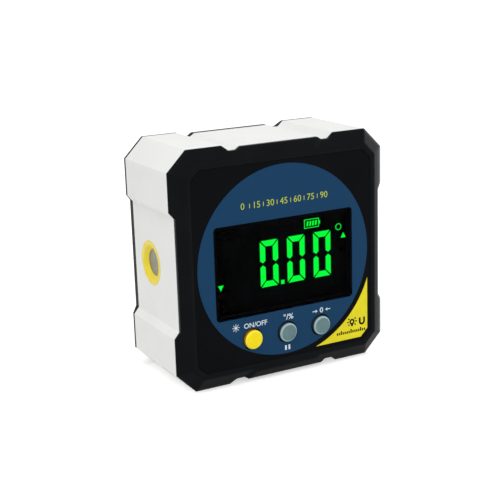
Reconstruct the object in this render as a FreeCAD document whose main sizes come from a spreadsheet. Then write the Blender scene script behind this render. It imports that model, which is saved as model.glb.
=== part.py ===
"""A square digital angle gauge, 60 mm on a side, that stands on any of its four edges.

The frame: X runs to the right along the face, Y runs from the face to the back and Z runs up. The origin lies
on the surface that the gauge stands on, below the middle of the whole gauge. All lengths are in millimetres.
"""

import FreeCAD, Part
import math
import os
import re

import Sketcher
from FreeCAD import Placement, Rotation, Vector

# The driving sizes: a name, a length and what it is.
SIZES = [
    # The square box and its outline.
    ("side", 60.0, "width and height of the box"),
    ("corner_cut", 5.0, "leg of the cut across each corner"),
    ("block_start", 15.6, "from the middle of a side to where its corner block begins"),
    ("recess_floor", 14.0, "half the length of the flat recess between the corner blocks"),
    ("recess_depth", 1.34, "how far the recess lies below the corner blocks"),
    ("middle_top", 10.7, "half the length of the low block in the middle of the top and bottom rims"),
    ("middle_slope", 1.58, "run for each unit of rise at that block's ends"),
    ("middle_drop", 0.58, "how far that block stays below the corner blocks"),
    ("middle_shift", 0.75, "how far its bevel stands outside the main bevel"),
    ("middle_draw", 2.05, "how far its ends draw in along the bevel"),
    # Depths, from the face to the back.
    ("button_proud", 1.0, "how far the buttons stand out of the face"),
    ("front_bevel", 2.2, "depth of the front bevel"),
    ("front_land", 0.3, "depth of the straight edge behind the front bevel"),
    ("body_length", 24.2, "depth of the white body"),
    ("rear_land", 0.9, "depth of the straight edge before the rear bevel"),
    ("rear_bevel", 2.4, "depth of the rear bevel"),
    ("bevel_inset", 3.4, "how far both bevels come in"),
    # The white body and the skirts that fit inside it.
    ("shell_wall", 3.4, "wall of the body at its corner blocks"),
    ("fit_gap", 0.1, "gap between pieces that fit into each other"),
    ("skirt_wall", 1.2, "wall of the skirts"),
    ("skirt_length", 2.0, "how far the skirts reach into the body"),
    # Magnets in the edges.
    ("magnet_behind", 14.7, "from the front rim to the magnets' axes"),
    ("magnet_radius", 4.0, "half the width of an eight-sided magnet"),
    ("magnet_thick", 2.0, "thickness of a magnet"),
    ("ring_radius", 5.6, "outer radius of a magnet's ring"),
    ("ring_thick", 1.0, "thickness of a magnet's ring"),
    ("ring_mouth", 4.4, "radius of the ring's hole at the outside"),
    ("ring_throat", 3.4, "radius of the ring's hole at the magnet"),
    ("seat_gap", 0.05, "gap round a seated magnet or ring"),
    ("seat_floor", 0.7, "floor behind a magnet"),
    ("boss_wall", 1.2, "wall round a magnet"),
    ("top_skin", 1.0, "skin that hides the top magnet"),
    # The front panel, its film and its labels.
    ("face_rim", 1.3, "flat rim of the face round the film's seat"),
    ("film_corner", 2.4, "leg of the cut across the film's corners"),
    ("film_seat", 0.4, "depth of the film's seat"),
    ("film_thick", 0.25, "thickness of the film"),
    ("label_thick", 0.1, "thickness of the coloured labels"),
    ("dial_edge", 0.86, "from the window's lower corners to the blue label's edge"),
    ("label_space", 1.45, "black space between the blue label and the yellow label"),
    ("corner_margin", 1.0, "from the film's seat to the yellow label"),
    ("corner_label_cut", 2.1, "leg of the cut across the yellow label's corner"),
    # The display.
    ("window_margin", 5.6, "from the film's seat to the window, at each side"),
    ("scale_band", 14.4, "from the top of the film's seat to the window"),
    ("button_band", 12.6, "from the bottom of the film's seat to the window"),
    ("window_round", 1.0, "corner radius of the window"),
    ("lens_thick", 1.0, "thickness of the clear window"),
    ("lens_ledge", 0.8, "ledge that carries the clear window"),
    ("panel_beside", 0.8, "how far the display panel reaches past the window, at each side"),
    ("panel_above", 1.4, "how far it reaches past the window, above and below"),
    ("panel_sunk", 1.0, "how far the display panel is let into the face plate from behind"),
    ("panel_thick", 2.2, "thickness of the display panel"),
    ("panel_step", 2.0, "strip of the front glass that the rear glass leaves free"),
    ("light_thick", 3.1, "thickness of the light guide"),
    ("light_edge", 0.5, "how much smaller than the panel the light guide is on each side"),
    ("frame_wall", 0.8, "wall of the frame that locates the display"),
    ("frame_height", 1.5, "height of that frame"),
    ("strip_thick", 1.3, "thickness of the rubber contact strip"),
    ("strip_end", 2.5, "from the panel's sides to the strip's ends"),
    # The three buttons and their switches.
    ("button_radius", 2.42, "radius of a button"),
    ("button_hole", 2.7, "radius of its hole"),
    ("button_spacing", 9.9, "from one button to the next"),
    ("button_space", 0.35, "space between the display's frame and the buttons' flanges"),
    ("button_bevel", 0.4, "bevel round a button's top"),
    ("button_travel", 0.5, "how far a button goes in"),
    ("flange_radius", 3.3, "half the width of a button's eight-sided flange"),
    ("flange_thick", 0.8, "thickness of a button's flange"),
    ("flange_gap", 0.3, "gap in front of the flange"),
    ("stem_radius", 1.5, "half the width of a button's stem"),
    ("stem_length", 0.3, "length of a button's stem"),
    ("stem_gap", 0.1, "gap left to the switch when a button is pressed"),
    ("switch_side", 4.5, "width and height of a switch"),
    ("plunger_radius", 1.1, "radius of a switch's plunger"),
    ("plunger_height", 0.3, "height of a switch's plunger"),
    # The circuit board.
    ("board_edge", 2.1, "from the body's wall to the board"),
    ("board_thick", 1.6, "thickness of the board"),
    ("board_corner_gap", 0.4, "gap between the board and the corner posts"),
    ("board_post_space", 0.6, "space between the board's posts and what is next to them"),
    ("board_post_radius", 1.7, "half the width of the board's eight-sided posts"),
    ("board_screw_radius", 1.0, "half the width of a board screw's shank"),
    ("board_screw_length", 3.6, "length of a board screw below its head"),
    ("board_head_radius", 1.8, "half the width of a board screw's head"),
    ("board_head_height", 1.1, "height of a board screw's head"),
    ("thread_gap", 0.05, "gap round a screw in its post"),
    ("chip_left", 8.2, "from the middle to the controller chip, to the left"),
    ("chip_down", 12.2, "from the middle down to the controller chip and the crystal"),
    ("chip_side", 7.0, "width and height of the controller chip"),
    ("chip_thick", 0.9, "thickness of the chips"),
    ("sensor_side", 3.0, "width and height of the tilt sensor"),
    ("crystal_right", 6.1, "from the middle to the timing crystal, to the right"),
    ("crystal_length", 5.0, "length of the timing crystal"),
    ("crystal_height", 2.0, "height of the timing crystal"),
    # The case screws and their posts.
    ("case_post_inset", 8.0, "from the sides of the box to the case posts"),
    ("case_post_radius", 3.2, "half the width of the eight-sided case posts"),
    ("case_post_length", 8.8, "length of the front posts"),
    ("case_screw_radius", 1.25, "half the width of a case screw's shank"),
    ("case_screw_bite", 5.8, "length of a case screw in the front post"),
    ("case_screw_hole", 1.4, "half the width of the hole in the rear column"),
    ("case_head_radius", 2.3, "radius of a case screw's head"),
    ("case_head_height", 1.6, "height of a case screw's head"),
    ("case_head_hole", 2.6, "radius of the hole that the head goes down"),
    ("case_head_sunk", 8.5, "from the back down to the head's seat"),
    ("drive_half", 0.9, "half the width of the six-sided recess that turns a case screw"),
    ("drive_depth", 0.7, "depth of that recess"),
    # The battery compartment, its cells and contacts.
    ("cell_radius", 5.25, "radius of a cell"),
    ("cell_edge", 0.4, "bevel round a cell's ends"),
    ("nub_radius", 1.9, "radius of a cell's nub"),
    ("nub_length", 0.8, "length of a cell's nub"),
    ("cell_between", 0.7, "space between the two cells"),
    ("cell_air", 0.75, "gap between the cells and the door"),
    ("cell_bed_gap", 0.15, "gap between the cells and the compartment's floor"),
    ("tub_magnet_gap", 0.21, "gap between the compartment and the magnets' seats"),
    ("tub_end_gap", 1.5, "room for the contacts at each end of the cells, on average"),
    ("tub_side_gap", 0.55, "from a cell to the compartment's long walls"),
    ("tub_end_wall", 1.0, "end walls of the compartment"),
    ("tub_side_wall", 1.5, "long walls of the compartment"),
    ("tub_floor_wall", 1.0, "floor of the compartment"),
    ("rib_height", 2.0, "height of the rib between the cells"),
    ("rib_wall", 1.0, "thickness of the rib between the cells"),
    ("rib_end_gap", 3.75, "from the rib between the cells to the end walls"),
    ("plate_thick", 0.3, "sheet of the contacts"),
    ("plate_width", 8.0, "width of a contact"),
    ("plate_depth", 10.0, "height of a contact off the compartment's floor"),
    ("plate_lift", 0.4, "gap between a contact and the compartment's floor"),
    ("tail_width", 2.0, "width of a contact's tail"),
    ("dimple_radius", 1.5, "radius of the dimple that meets a nub"),
    ("dimple_height", 0.15, "height of that dimple"),
    ("spring_wire", 0.25, "radius of the spring wire"),
    ("spring_base", 2.6, "radius of a spring at its contact"),
    ("spring_tip", 1.6, "radius of a spring at its cell"),
    ("spring_turns", 2.5, "number of turns of a spring"),
    # The rear cover and the battery door.
    ("cover_plate", 1.6, "thickness of the rear cover's plate"),
    ("door_over_end", 0.15, "how far the door reaches past the compartment, at each end"),
    ("door_over_side", 0.5, "how far the door reaches past the compartment, above and below"),
    ("door_thick", 1.5, "thickness of the door"),
    ("door_gap", 0.3, "gap round the door"),
    ("door_round", 0.8, "corner radius of the door"),
    ("hook_place", 14.0, "from the middle to the door's hooks"),
    ("hook_width", 5.0, "width of a hook"),
    ("hook_reach", 1.8, "how far a hook reaches past the door's edge"),
    ("hook_thick", 1.0, "thickness of a hook"),
    ("hook_step", 0.6, "step between the door and a hook"),
    ("hook_arm", 1.4, "thickness of a hook's arm"),
    ("hook_clear", 0.8, "clearance of the slot that a hook moves in"),
    ("clip_width", 8.0, "width of the door's spring clip"),
    ("clip_thick", 0.6, "thickness of the door's spring clip"),
    ("clip_depth", 1.4, "how far the clip reaches in"),
    ("clip_rise", 1.7, "height of the clip"),
    ("clip_below", 2.7, "from the door's top edge down to the clip's foot"),
    ("groove_length", 10.0, "length of a grip groove"),
    ("groove_width", 0.8, "width of a grip groove"),
    ("groove_depth", 0.4, "depth of a grip groove"),
    ("groove_pitch", 1.8, "spacing of the grip grooves"),
    ("groove_below", 3.2, "from the door's top edge down to the first groove"),
    ("nail_radius", 4.0, "radius of the fingernail notch above the door"),
    ("nail_depth", 0.8, "depth of the fingernail notch"),
    ("cut_over", 1.0, "how far a cut runs past an open edge"),
]

# Places that follow from the sizes. Distances sideways and up are from the middle of the square.
PLACES = {
    "half": "side / 2",
    "bevel_corner": "corner_cut - (2 - sqrt(2)) * bevel_inset",
    "bevel_half": "half - bevel_inset",
    "depth": "button_proud + front_bevel + front_land + body_length + rear_land + rear_bevel",
    "button_top_y": "-depth / 2",
    "face_y": "button_top_y + button_proud",
    "front_land_y": "face_y + front_bevel",
    "front_rim_y": "front_land_y + front_land",
    "rear_rim_y": "front_rim_y + body_length",
    "rear_land_y": "rear_rim_y + rear_land",
    "back_y": "rear_land_y + rear_bevel",
    "cavity_half": "half - shell_wall",
    "cavity_corner": "corner_cut - (2 - sqrt(2)) * shell_wall",
    "skirt_half": "cavity_half - fit_gap",
    "skirt_inner": "skirt_half - skirt_wall",
    "skirt_inner_corner": "cavity_corner - (2 - sqrt(2)) * skirt_wall",
    "recess_surface": "half - recess_depth",
    "block_surface": "half - middle_drop",
    "magnet_y": "front_rim_y + magnet_behind",
    "magnet_face": "recess_surface - ring_thick",
    "magnet_back": "magnet_face - magnet_thick",
    "magnet_lift": "block_surface - recess_surface",
    "boss_end": "magnet_back - seat_floor",
    "boss_half": "magnet_radius + boss_wall",
    "film_half": "bevel_half - face_rim",
    "window_width": "2 * (film_half - window_margin)",
    "window_height": "2 * film_half - scale_band - button_band",
    "window_drop": "(scale_band - button_band) / 2",
    "dial_radius": "sqrt((window_width / 2) ^ 2 + (film_half - button_band) ^ 2) + dial_edge",
    "corner_arc": "dial_radius + label_space",
    "film_floor_y": "face_y + film_seat",
    "film_front_y": "film_floor_y - film_thick",
    "label_front_y": "film_front_y - label_thick",
    "lens_back_y": "label_front_y + lens_thick",
    "window_z": "-window_drop",
    "panel_width": "window_width + 2 * panel_beside",
    "panel_height": "window_height + 2 * panel_above",
    "frame_out": "fit_gap + frame_wall",
    "panel_front_y": "front_rim_y - panel_sunk",
    "panel_back_y": "panel_front_y + panel_thick",
    "board_front_y": "panel_back_y + light_thick",
    "board_back_y": "board_front_y + board_thick",
    "panel_low": "window_z - panel_height / 2",
    "panel_high": "window_z + panel_height / 2",
    "button_drop": "-(panel_low) + frame_out + button_space + flange_radius",
    "board_half": "cavity_half - board_edge",
    "board_post_across": "button_spacing + flange_radius + board_post_space + board_post_radius",
    "board_post_up": "panel_high + frame_out + board_post_space + board_post_radius",
    "case_post_place": "half - case_post_inset",
    "flange_front_y": "front_rim_y + flange_gap",
    "flange_back_y": "flange_front_y + flange_thick",
    "stem_back_y": "flange_back_y + stem_length",
    "plunger_front_y": "stem_back_y + button_travel + stem_gap",
    "switch_front_y": "plunger_front_y + plunger_height",
    "post_end_y": "front_rim_y + case_post_length",
    "case_seat_y": "back_y - case_head_sunk",
    "plate_inner_y": "back_y - cover_plate",
    "door_inner_y": "back_y - door_thick",
    "cell_y": "door_inner_y - cell_air - cell_radius",
    "cell_up": "cell_radius + cell_between / 2",
    "tub_floor_y": "cell_y - cell_radius - cell_bed_gap",
    "tub_half_length": "boss_end - tub_magnet_gap - tub_end_wall",
    "cell_length": "2 * (tub_half_length - tub_end_gap)",
    "tub_half_height": "cell_up + cell_radius + tub_side_gap",
    "plate_face": "tub_half_length - plate_thick",
    "nub_end": "plate_face - dimple_height",
    "cell_far_end": "nub_end - cell_length",
    "door_half_width": "tub_half_length + door_over_end",
    "door_half_height": "tub_half_height + door_over_side",
    "opening_half_width": "door_half_width + door_gap",
    "opening_half_height": "door_half_height + door_gap",
}

# How finely the wire springs are faceted.
STEPS_IN_A_TURN = 12
SIDES_OF_THE_WIRE = 6

doc = FreeCAD.newDocument("AngleGauge")
sheet = doc.addObject("Spreadsheet::Sheet", "Sizes")


def fill_sheet():
    """Writes each size with its name and its note into the sheet."""
    for row, (name, length, note) in enumerate(SIZES, start=1):
        sheet.set(f"A{row}", name)
        sheet.set(f"B{row}", str(length))
        sheet.set(f"C{row}", note)
        sheet.setAlias(f"B{row}", name)
    doc.recompute()


ALIASES = {name for name, length, note in SIZES}


def bound(formula):
    """Turns a formula in plain names into one that reads the sheet."""
    def look_up(match):
        name = match.group(0)
        if name in PLACES:
            return "(" + bound(PLACES[name]) + ")"
        if name in ALIASES:
            return "Sizes." + name
        return name
    return re.sub(r"[a-z][a-z_]*", look_up, formula)


def value(formula):
    """The number that a formula gives with the sheet's present sizes."""
    return float(sheet.evalExpression(bound(formula)))


def minus(formula):
    return "0" if formula == "0" else f"-({formula})"


# Sketches.

def sketch_on(body, name, role, shift):
    """A sketch on one of the body's own planes, shifted along, up and out of it by three formulas."""
    sketch = body.newObject("Sketcher::SketchObject", name)
    plane = [feature for feature in body.Origin.OriginFeatures if feature.Role == role][0]
    sketch.AttachmentSupport = (plane, [""])
    sketch.MapMode = "FlatFace"
    for axis, formula in zip("xyz", shift):
        if formula != "0":
            sketch.setExpression(f"AttachmentOffset.Base.{axis}", bound(formula))
    return sketch


def face_sketch(body, name, at_y):
    """A sketch square to Y at the given depth, with its origin in the middle of the box."""
    return sketch_on(body, name, "XZ_Plane", ("0", "half", minus(at_y)))


def side_sketch(body, name, at_x):
    """A sketch square to X: its first direction is Y and its second is up from the middle."""
    return sketch_on(body, name, "YZ_Plane", ("0", "half", at_x))


def base_sketch(body, name, at_z):
    """A sketch square to Z at the given height above the base."""
    return sketch_on(body, name, "XY_Plane", ("0", "0", at_z))


def place_point(sketch, shape, end, across, up):
    """Ties a point of the sketch to two formulas."""
    for kind, formula, axis in (("DistanceX", across, -2), ("DistanceY", up, -1)):
        if formula == "0":
            sketch.addConstraint(Sketcher.Constraint("PointOnObject", shape, end, axis))
        else:
            index = sketch.addConstraint(Sketcher.Constraint(kind, shape, end, value(formula)))
            sketch.setExpression(f"Constraints[{index}]", bound(formula))


def draw_polygon(sketch, corners):
    """Draws a closed outline of straight lines through the corners."""
    spots = [Vector(value(across), value(up), 0) for across, up in corners]
    first = sketch.GeometryCount
    for here, there in zip(spots, spots[1:] + spots[:1]):
        sketch.addGeometry(Part.LineSegment(here, there), False)
    for i, (across, up) in enumerate(corners):
        following = first + (i + 1) % len(corners)
        sketch.addConstraint(Sketcher.Constraint("Coincident", first + i, 2, following, 1))
        place_point(sketch, first + i, 1, across, up)


def draw_rectangle(sketch, left, right, low, high):
    draw_polygon(sketch, [(left, low), (right, low), (right, high), (left, high)])


def draw_centred(sketch, half_width, half_height, up="0"):
    """A rectangle about a point that lies straight above or below the sketch's origin."""
    draw_rectangle(sketch, minus(half_width), half_width,
                   f"{up} - ({half_height})", f"{up} + ({half_height})")


def draw_circle(sketch, across, up, radius):
    centre = Vector(value(across), value(up), 0)
    index = sketch.addGeometry(Part.Circle(centre, Vector(0, 0, 1), value(radius)), False)
    place_point(sketch, index, 3, across, up)
    size = sketch.addConstraint(Sketcher.Constraint("Radius", index, value(radius)))
    sketch.setExpression(f"Constraints[{size}]", bound(radius))


def octagon(half, cut):
    """A square with its four corners cut off."""
    near = f"{half} - ({cut})"
    return [(half, near), (near, half), (minus(near), half), (minus(half), near),
            (minus(half), minus(near)), (minus(near), minus(half)), (near, minus(half)), (half, minus(near))]


def draw_eight_sided(sketch, across, up, radius):
    """A regular eight-sided outline about a point, drawn round a circle of the given radius."""
    corners = octagon(radius, f"({radius}) * (2 - sqrt(2))")
    draw_polygon(sketch, [(f"{across} + ({x})", f"{up} + ({z})") for x, z in corners])


def quarter_turns(corners, turns):
    """The same outline after some quarter turns about the middle."""
    for _ in range(turns):
        corners = [(minus(up), across) for across, up in corners]
    return corners


# Features of a body.

def new_body(name):
    body = doc.addObject("PartDesign::Body", name)
    body.Label = name
    return body


def pad(body, name, sketch, length, backwards=False):
    feature = body.newObject("PartDesign::Pad", name)
    feature.Profile = sketch
    feature.Reversed = backwards
    feature.setExpression("Length", bound(length))
    return feature


def pocket(body, name, sketch, length, backwards=False):
    feature = body.newObject("PartDesign::Pocket", name)
    feature.Profile = sketch
    feature.Reversed = backwards
    feature.setExpression("Length", bound(length))
    return feature


def pad_to_back(body, name, sketch, length):
    """Pads a face sketch towards the back of the gauge."""
    return pad(body, name, sketch, length, backwards=True)


def loft(body, name, first, second):
    feature = body.newObject("PartDesign::AdditiveLoft", name)
    feature.Profile = first
    feature.Sections = [second]
    feature.Ruled = True
    return feature


def turn_profile(body, name, sketch, axis):
    """Turns a half profile into a round solid."""
    feature = body.newObject("PartDesign::Revolution", name)
    feature.Profile = sketch
    feature.ReferenceAxis = (sketch, [axis])
    feature.Angle = 360
    return feature


def round_edges(body, name, radius, wanted):
    """Rounds the edges of the body so far that the test picks."""
    doc.recompute()
    base = body.Tip
    edges = [f"Edge{i}" for i, edge in enumerate(base.Shape.Edges, start=1) if wanted(edge)]
    feature = body.newObject("PartDesign::Fillet", name)
    feature.Base = (base, edges)
    feature.setExpression("Radius", bound(radius))
    return feature


def runs_along(edge, direction):
    """Whether a straight edge lies along the given direction."""
    if len(edge.Vertexes) != 2 or edge.Curve.TypeId != "Part::GeomLine":
        return False
    return abs(edge.Curve.Direction.dot(direction)) > 0.999


def is_near(edge, across, up, reach=0.05):
    """Whether an edge's middle lies above the point (across, up) of the square's face."""
    middle = edge.BoundBox.Center
    return (abs(abs(middle.x) - value(across)) < reach
            and abs(middle.z - value("half") - value(up)) < reach)


def window_corners(half_width, half_height):
    """A test that picks the four corner edges of an upright rectangle round the display's middle."""
    def wanted(edge):
        if not runs_along(edge, Vector(0, 1, 0)):
            return False
        return (is_near(edge, half_width, f"window_z + ({half_height})")
                or is_near(edge, half_width, f"window_z - ({half_height})"))
    return wanted


# Shapes that the bezel, the body and the cover share.

def cut_recesses(body, start, length):
    """Cuts the flat recess between the corner blocks out of all four sides."""
    one = [("half", "block_start"), ("recess_surface", "recess_floor"),
           ("recess_surface", "-recess_floor"), ("half", "-block_start"),
           ("half + cut_over", "-block_start"), ("half + cut_over", "block_start")]
    sketch = face_sketch(body, "recess_outline", start)
    for turns in range(4):
        draw_polygon(sketch, quarter_turns(one, turns))
    pocket(body, "recesses", sketch, length)


def middle_block_outline(top, half_top):
    """The low block's section: its ends keep one slope down to a foot inside the rim."""
    foot = "bevel_half - cut_over"
    half_foot = f"{half_top} + ({top} - ({foot})) * middle_slope"
    return [(minus(half_foot), foot), (half_foot, foot), (half_top, top), (minus(half_top), top)]


def add_middle_blocks(body, rim, face, bevel, towards_back):
    """Adds the low bevelled block in the middle of the top rim and of the bottom rim."""
    outer = middle_block_outline("block_surface", "middle_top")
    inner = middle_block_outline("bevel_half + middle_shift", "middle_top - middle_draw")
    rise = f"(bevel_inset - middle_drop - middle_shift) * {bevel} / bevel_inset"
    shoulder = f"{face} - {rise}" if towards_back else f"{face} + {rise}"
    for name, turns in (("top", 0), ("bottom", 2)):
        straight = face_sketch(body, f"{name}_block_outline", shoulder)
        draw_polygon(straight, quarter_turns(outer, turns))
        if towards_back:
            pad(body, f"{name}_block", straight, f"{shoulder} - ({rim})")
        else:
            pad_to_back(body, f"{name}_block", straight, f"{rim} - ({shoulder})")
        wide = face_sketch(body, f"{name}_bevel_foot", shoulder)
        draw_polygon(wide, quarter_turns(outer, turns))
        narrow = face_sketch(body, f"{name}_bevel_top", face)
        draw_polygon(narrow, quarter_turns(inner, turns))
        loft(body, f"{name}_block_bevel", wide, narrow)


def add_bevelled_rim(body, rim, land, face):
    """The bevelled octagon of the bezel and the cover, between its rim and its outer face."""
    first, length = (land, f"{rim} - ({land})")
    if value(land) > value(rim):
        first, length = (rim, f"{land} - ({rim})")
    straight = face_sketch(body, "land_outline", first)
    draw_polygon(straight, octagon("half", "corner_cut"))
    pad_to_back(body, "land", straight, length)
    wide = face_sketch(body, "bevel_foot", land)
    draw_polygon(wide, octagon("half", "corner_cut"))
    narrow = face_sketch(body, "bevel_top", face)
    draw_polygon(narrow, octagon("bevel_half", "bevel_corner"))
    loft(body, "bevel", wide, narrow)


def add_skirt(body, start):
    """The wall that locates the piece inside the white body."""
    sketch = face_sketch(body, "skirt_outline", start)
    draw_polygon(sketch, octagon("skirt_half", "cavity_corner"))
    draw_polygon(sketch, octagon("skirt_inner", "skirt_inner_corner"))
    pad_to_back(body, "skirt", sketch, "skirt_length")


def draw_four(sketch, draw, radius):
    """Four equal outlines, one at each case screw."""
    for across in ("case_post_place", "-(case_post_place)"):
        for up in ("case_post_place", "-(case_post_place)"):
            draw(sketch, across, up, radius)


def draw_at_board_screws(sketch, radius):
    """Four equal eight-sided outlines: two above the display and two beside the buttons."""
    for across in ("board_post_across", "-(board_post_across)"):
        for up in ("board_post_up", "-(button_drop)"):
            draw_eight_sided(sketch, across, up, radius)


def draw_buttons(sketch, radius):
    """Three equal circles at the buttons' places."""
    for across in ("-button_spacing", "0", "button_spacing"):
        draw_circle(sketch, across, "-(button_drop)", radius)


# The white body and its magnets.

def add_magnet_seat(body, side, out_sign):
    """A boss inside the wall, open to the outside for a magnet and its ring."""
    level = side in ("base", "roof")
    make = base_sketch if level else side_sketch
    centre = ("0", "magnet_y") if level else ("magnet_y", "0")
    surface = "block_surface" if level else "recess_surface"

    def at(distance):
        spot = distance if out_sign > 0 else minus(distance)
        return f"half + ({spot})" if level else spot

    boss = make(body, f"{side}_boss_outline", at("cavity_half + fit_gap"))
    across, up = centre
    draw_rectangle(boss, f"{across} - (boss_half)", f"{across} + (boss_half)",
                   f"{up} - (boss_half)", f"{up} + (boss_half)")
    pad(body, f"{side}_boss", boss, "cavity_half + fit_gap - (boss_end)", backwards=out_sign > 0)
    if side == "roof":
        blind = make(body, "roof_seat_outline", at("boss_end"))
        draw_eight_sided(blind, *centre, "magnet_radius + seat_gap")
        pocket(body, "roof_seat", blind, f"{surface} - top_skin - (boss_end)", backwards=True)
        return
    seat = make(body, f"{side}_seat_outline", at(surface))
    draw_eight_sided(seat, *centre, "magnet_radius + seat_gap")
    pocket(body, f"{side}_seat", seat, "ring_thick + magnet_thick", backwards=out_sign < 0)
    rim = make(body, f"{side}_ring_outline", at(surface))
    draw_circle(rim, *centre, "ring_radius + seat_gap")
    pocket(body, f"{side}_ring_seat", rim, "ring_thick", backwards=out_sign < 0)


def build_body_shell():
    body = new_body("body_shell")
    outline = face_sketch(body, "outline", "front_rim_y")
    draw_polygon(outline, octagon("half", "corner_cut"))
    pad_to_back(body, "block", outline, "body_length")
    cut_recesses(body, "front_rim_y", "body_length")
    blocks = face_sketch(body, "middle_blocks_outline", "front_rim_y")
    for turns in (0, 2):
        draw_polygon(blocks, quarter_turns(middle_block_outline("block_surface", "middle_top"), turns))
    pad_to_back(body, "middle_blocks", blocks, "body_length")
    cavity = face_sketch(body, "cavity_outline", "front_rim_y")
    draw_polygon(cavity, octagon("cavity_half", "cavity_corner"))
    pocket(body, "cavity", cavity, "body_length")
    add_magnet_seat(body, "left", -1)
    add_magnet_seat(body, "right", 1)
    add_magnet_seat(body, "base", -1)
    add_magnet_seat(body, "roof", 1)
    return body


def round_profile(body, name, axis, spot, profile):
    """A solid turned about a line along one axis; spot holds the line's two other coordinates."""
    if axis == "x":
        sketch = sketch_on(body, name, "XZ_Plane", ("0", spot[1], minus(spot[0])))
    elif axis == "y":
        sketch = sketch_on(body, name, "YZ_Plane", ("0", spot[1], spot[0]))
    else:
        sketch = sketch_on(body, name, "XZ_Plane", (spot[0], "0", minus(spot[1])))
        profile = [(radius, along) for along, radius in profile]
    draw_polygon(sketch, profile)
    turn_profile(body, name + "_turned", sketch, "V_Axis" if axis == "z" else "H_Axis")


def build_magnet(name, across_side, foot):
    """A flat eight-sided magnet that begins at its foot, along X when it lies across a side, else along Z."""
    body = new_body(name)
    if across_side:
        sketch = side_sketch(body, "outline", foot)
        draw_eight_sided(sketch, "magnet_y", "0", "magnet_radius")
    else:
        sketch = base_sketch(body, "outline", foot)
        draw_eight_sided(sketch, "0", "magnet_y", "magnet_radius")
    pad(body, "magnet", sketch, "magnet_thick")
    return body


def build_ring(name, axis, spot, outside, inside):
    """The coloured ring in front of a magnet, with a hole that narrows inwards."""
    body = new_body(name)
    round_profile(body, "ring", axis, spot,
                  [(outside, "ring_mouth"), (outside, "ring_radius"),
                   (inside, "ring_radius"), (inside, "ring_throat")])
    return body


def build_magnets():
    """Three magnets behind rings, and one that the top's skin hides."""
    line = ("magnet_y", "half")
    upright = ("0", "magnet_y")
    pieces = [
        build_magnet("magnet_left", True, "-(magnet_face)"),
        build_ring("magnet_ring_left", "x", line, "-(recess_surface)", "-(magnet_face)"),
        build_magnet("magnet_right", True, "magnet_back"),
        build_ring("magnet_ring_right", "x", line, "recess_surface", "magnet_face"),
        build_magnet("magnet_base", False, "half - (magnet_face) - (magnet_lift)"),
        build_ring("magnet_ring_base", "z", upright, "middle_drop", "half - (magnet_face) - (magnet_lift)"),
    ]
    pieces.append(build_magnet("magnet_top", False, "half + block_surface - top_skin - magnet_thick"))
    return pieces


# The front: bezel, film, labels, window and buttons.

def build_front_bezel():
    body = new_body("front_bezel")
    add_bevelled_rim(body, "front_rim_y", "front_land_y", "face_y")
    cut_recesses(body, "face_y", "front_rim_y - (face_y)")
    add_middle_blocks(body, "front_rim_y", "face_y", "front_bevel", False)
    seat = face_sketch(body, "film_seat_outline", "face_y")
    draw_polygon(seat, octagon("film_half", "film_corner"))
    pocket(body, "film_seat_cut", seat, "film_seat")
    add_skirt(body, "front_rim_y")
    add_display_frame(body)
    cut_window(body)
    holes = face_sketch(body, "button_holes_outline", "face_y")
    draw_buttons(holes, "button_hole")
    pocket(body, "button_holes", holes, "front_rim_y - (face_y)")
    add_front_posts(body)
    return body


def add_display_frame(body):
    """The low wall behind the face that locates the display panel."""
    sketch = face_sketch(body, "display_frame_outline", "front_rim_y")
    inner_width = "panel_width / 2 + fit_gap"
    inner_height = "panel_height / 2 + fit_gap"
    draw_centred(sketch, "panel_width / 2 + frame_out", "panel_height / 2 + frame_out", "window_z")
    draw_centred(sketch, inner_width, inner_height, "window_z")
    pad_to_back(body, "display_frame", sketch, "frame_height")


def cut_window(body):
    """The display's opening: wide for the clear window, then a narrower ledge, then the panel's own seat."""
    wide = face_sketch(body, "window_outline", "face_y")
    draw_centred(wide, "window_width / 2", "window_height / 2", "window_z")
    pocket(body, "window_cut", wide, "lens_back_y - (face_y)")
    round_edges(body, "window_rounds", "window_round",
                window_corners("window_width / 2", "window_height / 2"))
    narrow = face_sketch(body, "window_ledge_outline", "lens_back_y")
    draw_centred(narrow, "window_width / 2 - lens_ledge", "window_height / 2 - lens_ledge", "window_z")
    pocket(body, "window_through", narrow, "front_rim_y - (lens_back_y)")
    seat = face_sketch(body, "panel_seat_outline", "panel_front_y")
    draw_centred(seat, "panel_width / 2 + fit_gap", "panel_height / 2 + fit_gap", "window_z")
    pocket(body, "panel_seat", seat, "panel_sunk")


def add_front_posts(body):
    """Four corner posts for the case screws and four short posts for the board."""
    corner = face_sketch(body, "case_posts_outline", "front_rim_y")
    draw_four(corner, draw_eight_sided, "case_post_radius")
    pad_to_back(body, "case_posts", corner, "case_post_length")
    short = face_sketch(body, "board_posts_outline", "front_rim_y")
    draw_at_board_screws(short, "board_post_radius")
    pad_to_back(body, "board_posts", short, "board_front_y - (front_rim_y)")
    deep = face_sketch(body, "case_threads_outline", "post_end_y - case_screw_bite - fit_gap")
    draw_four(deep, draw_eight_sided, "case_screw_radius + thread_gap")
    pocket(body, "case_threads", deep, "case_screw_bite + fit_gap")
    small = face_sketch(body, "board_threads_outline",
                        "board_back_y - board_screw_length - fit_gap")
    draw_at_board_screws(small, "board_screw_radius + thread_gap")
    pocket(body, "board_threads", small, "board_front_y - (board_back_y) + board_screw_length + fit_gap")


def cut_face_sheet(body, start, thickness):
    """Cuts the window and the button holes out of a film or label."""
    window = face_sketch(body, "window_outline", start)
    draw_centred(window, "window_width / 2", "window_height / 2", "window_z")
    pocket(body, "window_cut", window, thickness)
    round_edges(body, "window_rounds", "window_round",
                window_corners("window_width / 2", "window_height / 2"))
    holes = face_sketch(body, "button_holes_outline", start)
    draw_buttons(holes, "button_hole + fit_gap")
    pocket(body, "button_holes", holes, thickness)


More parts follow.
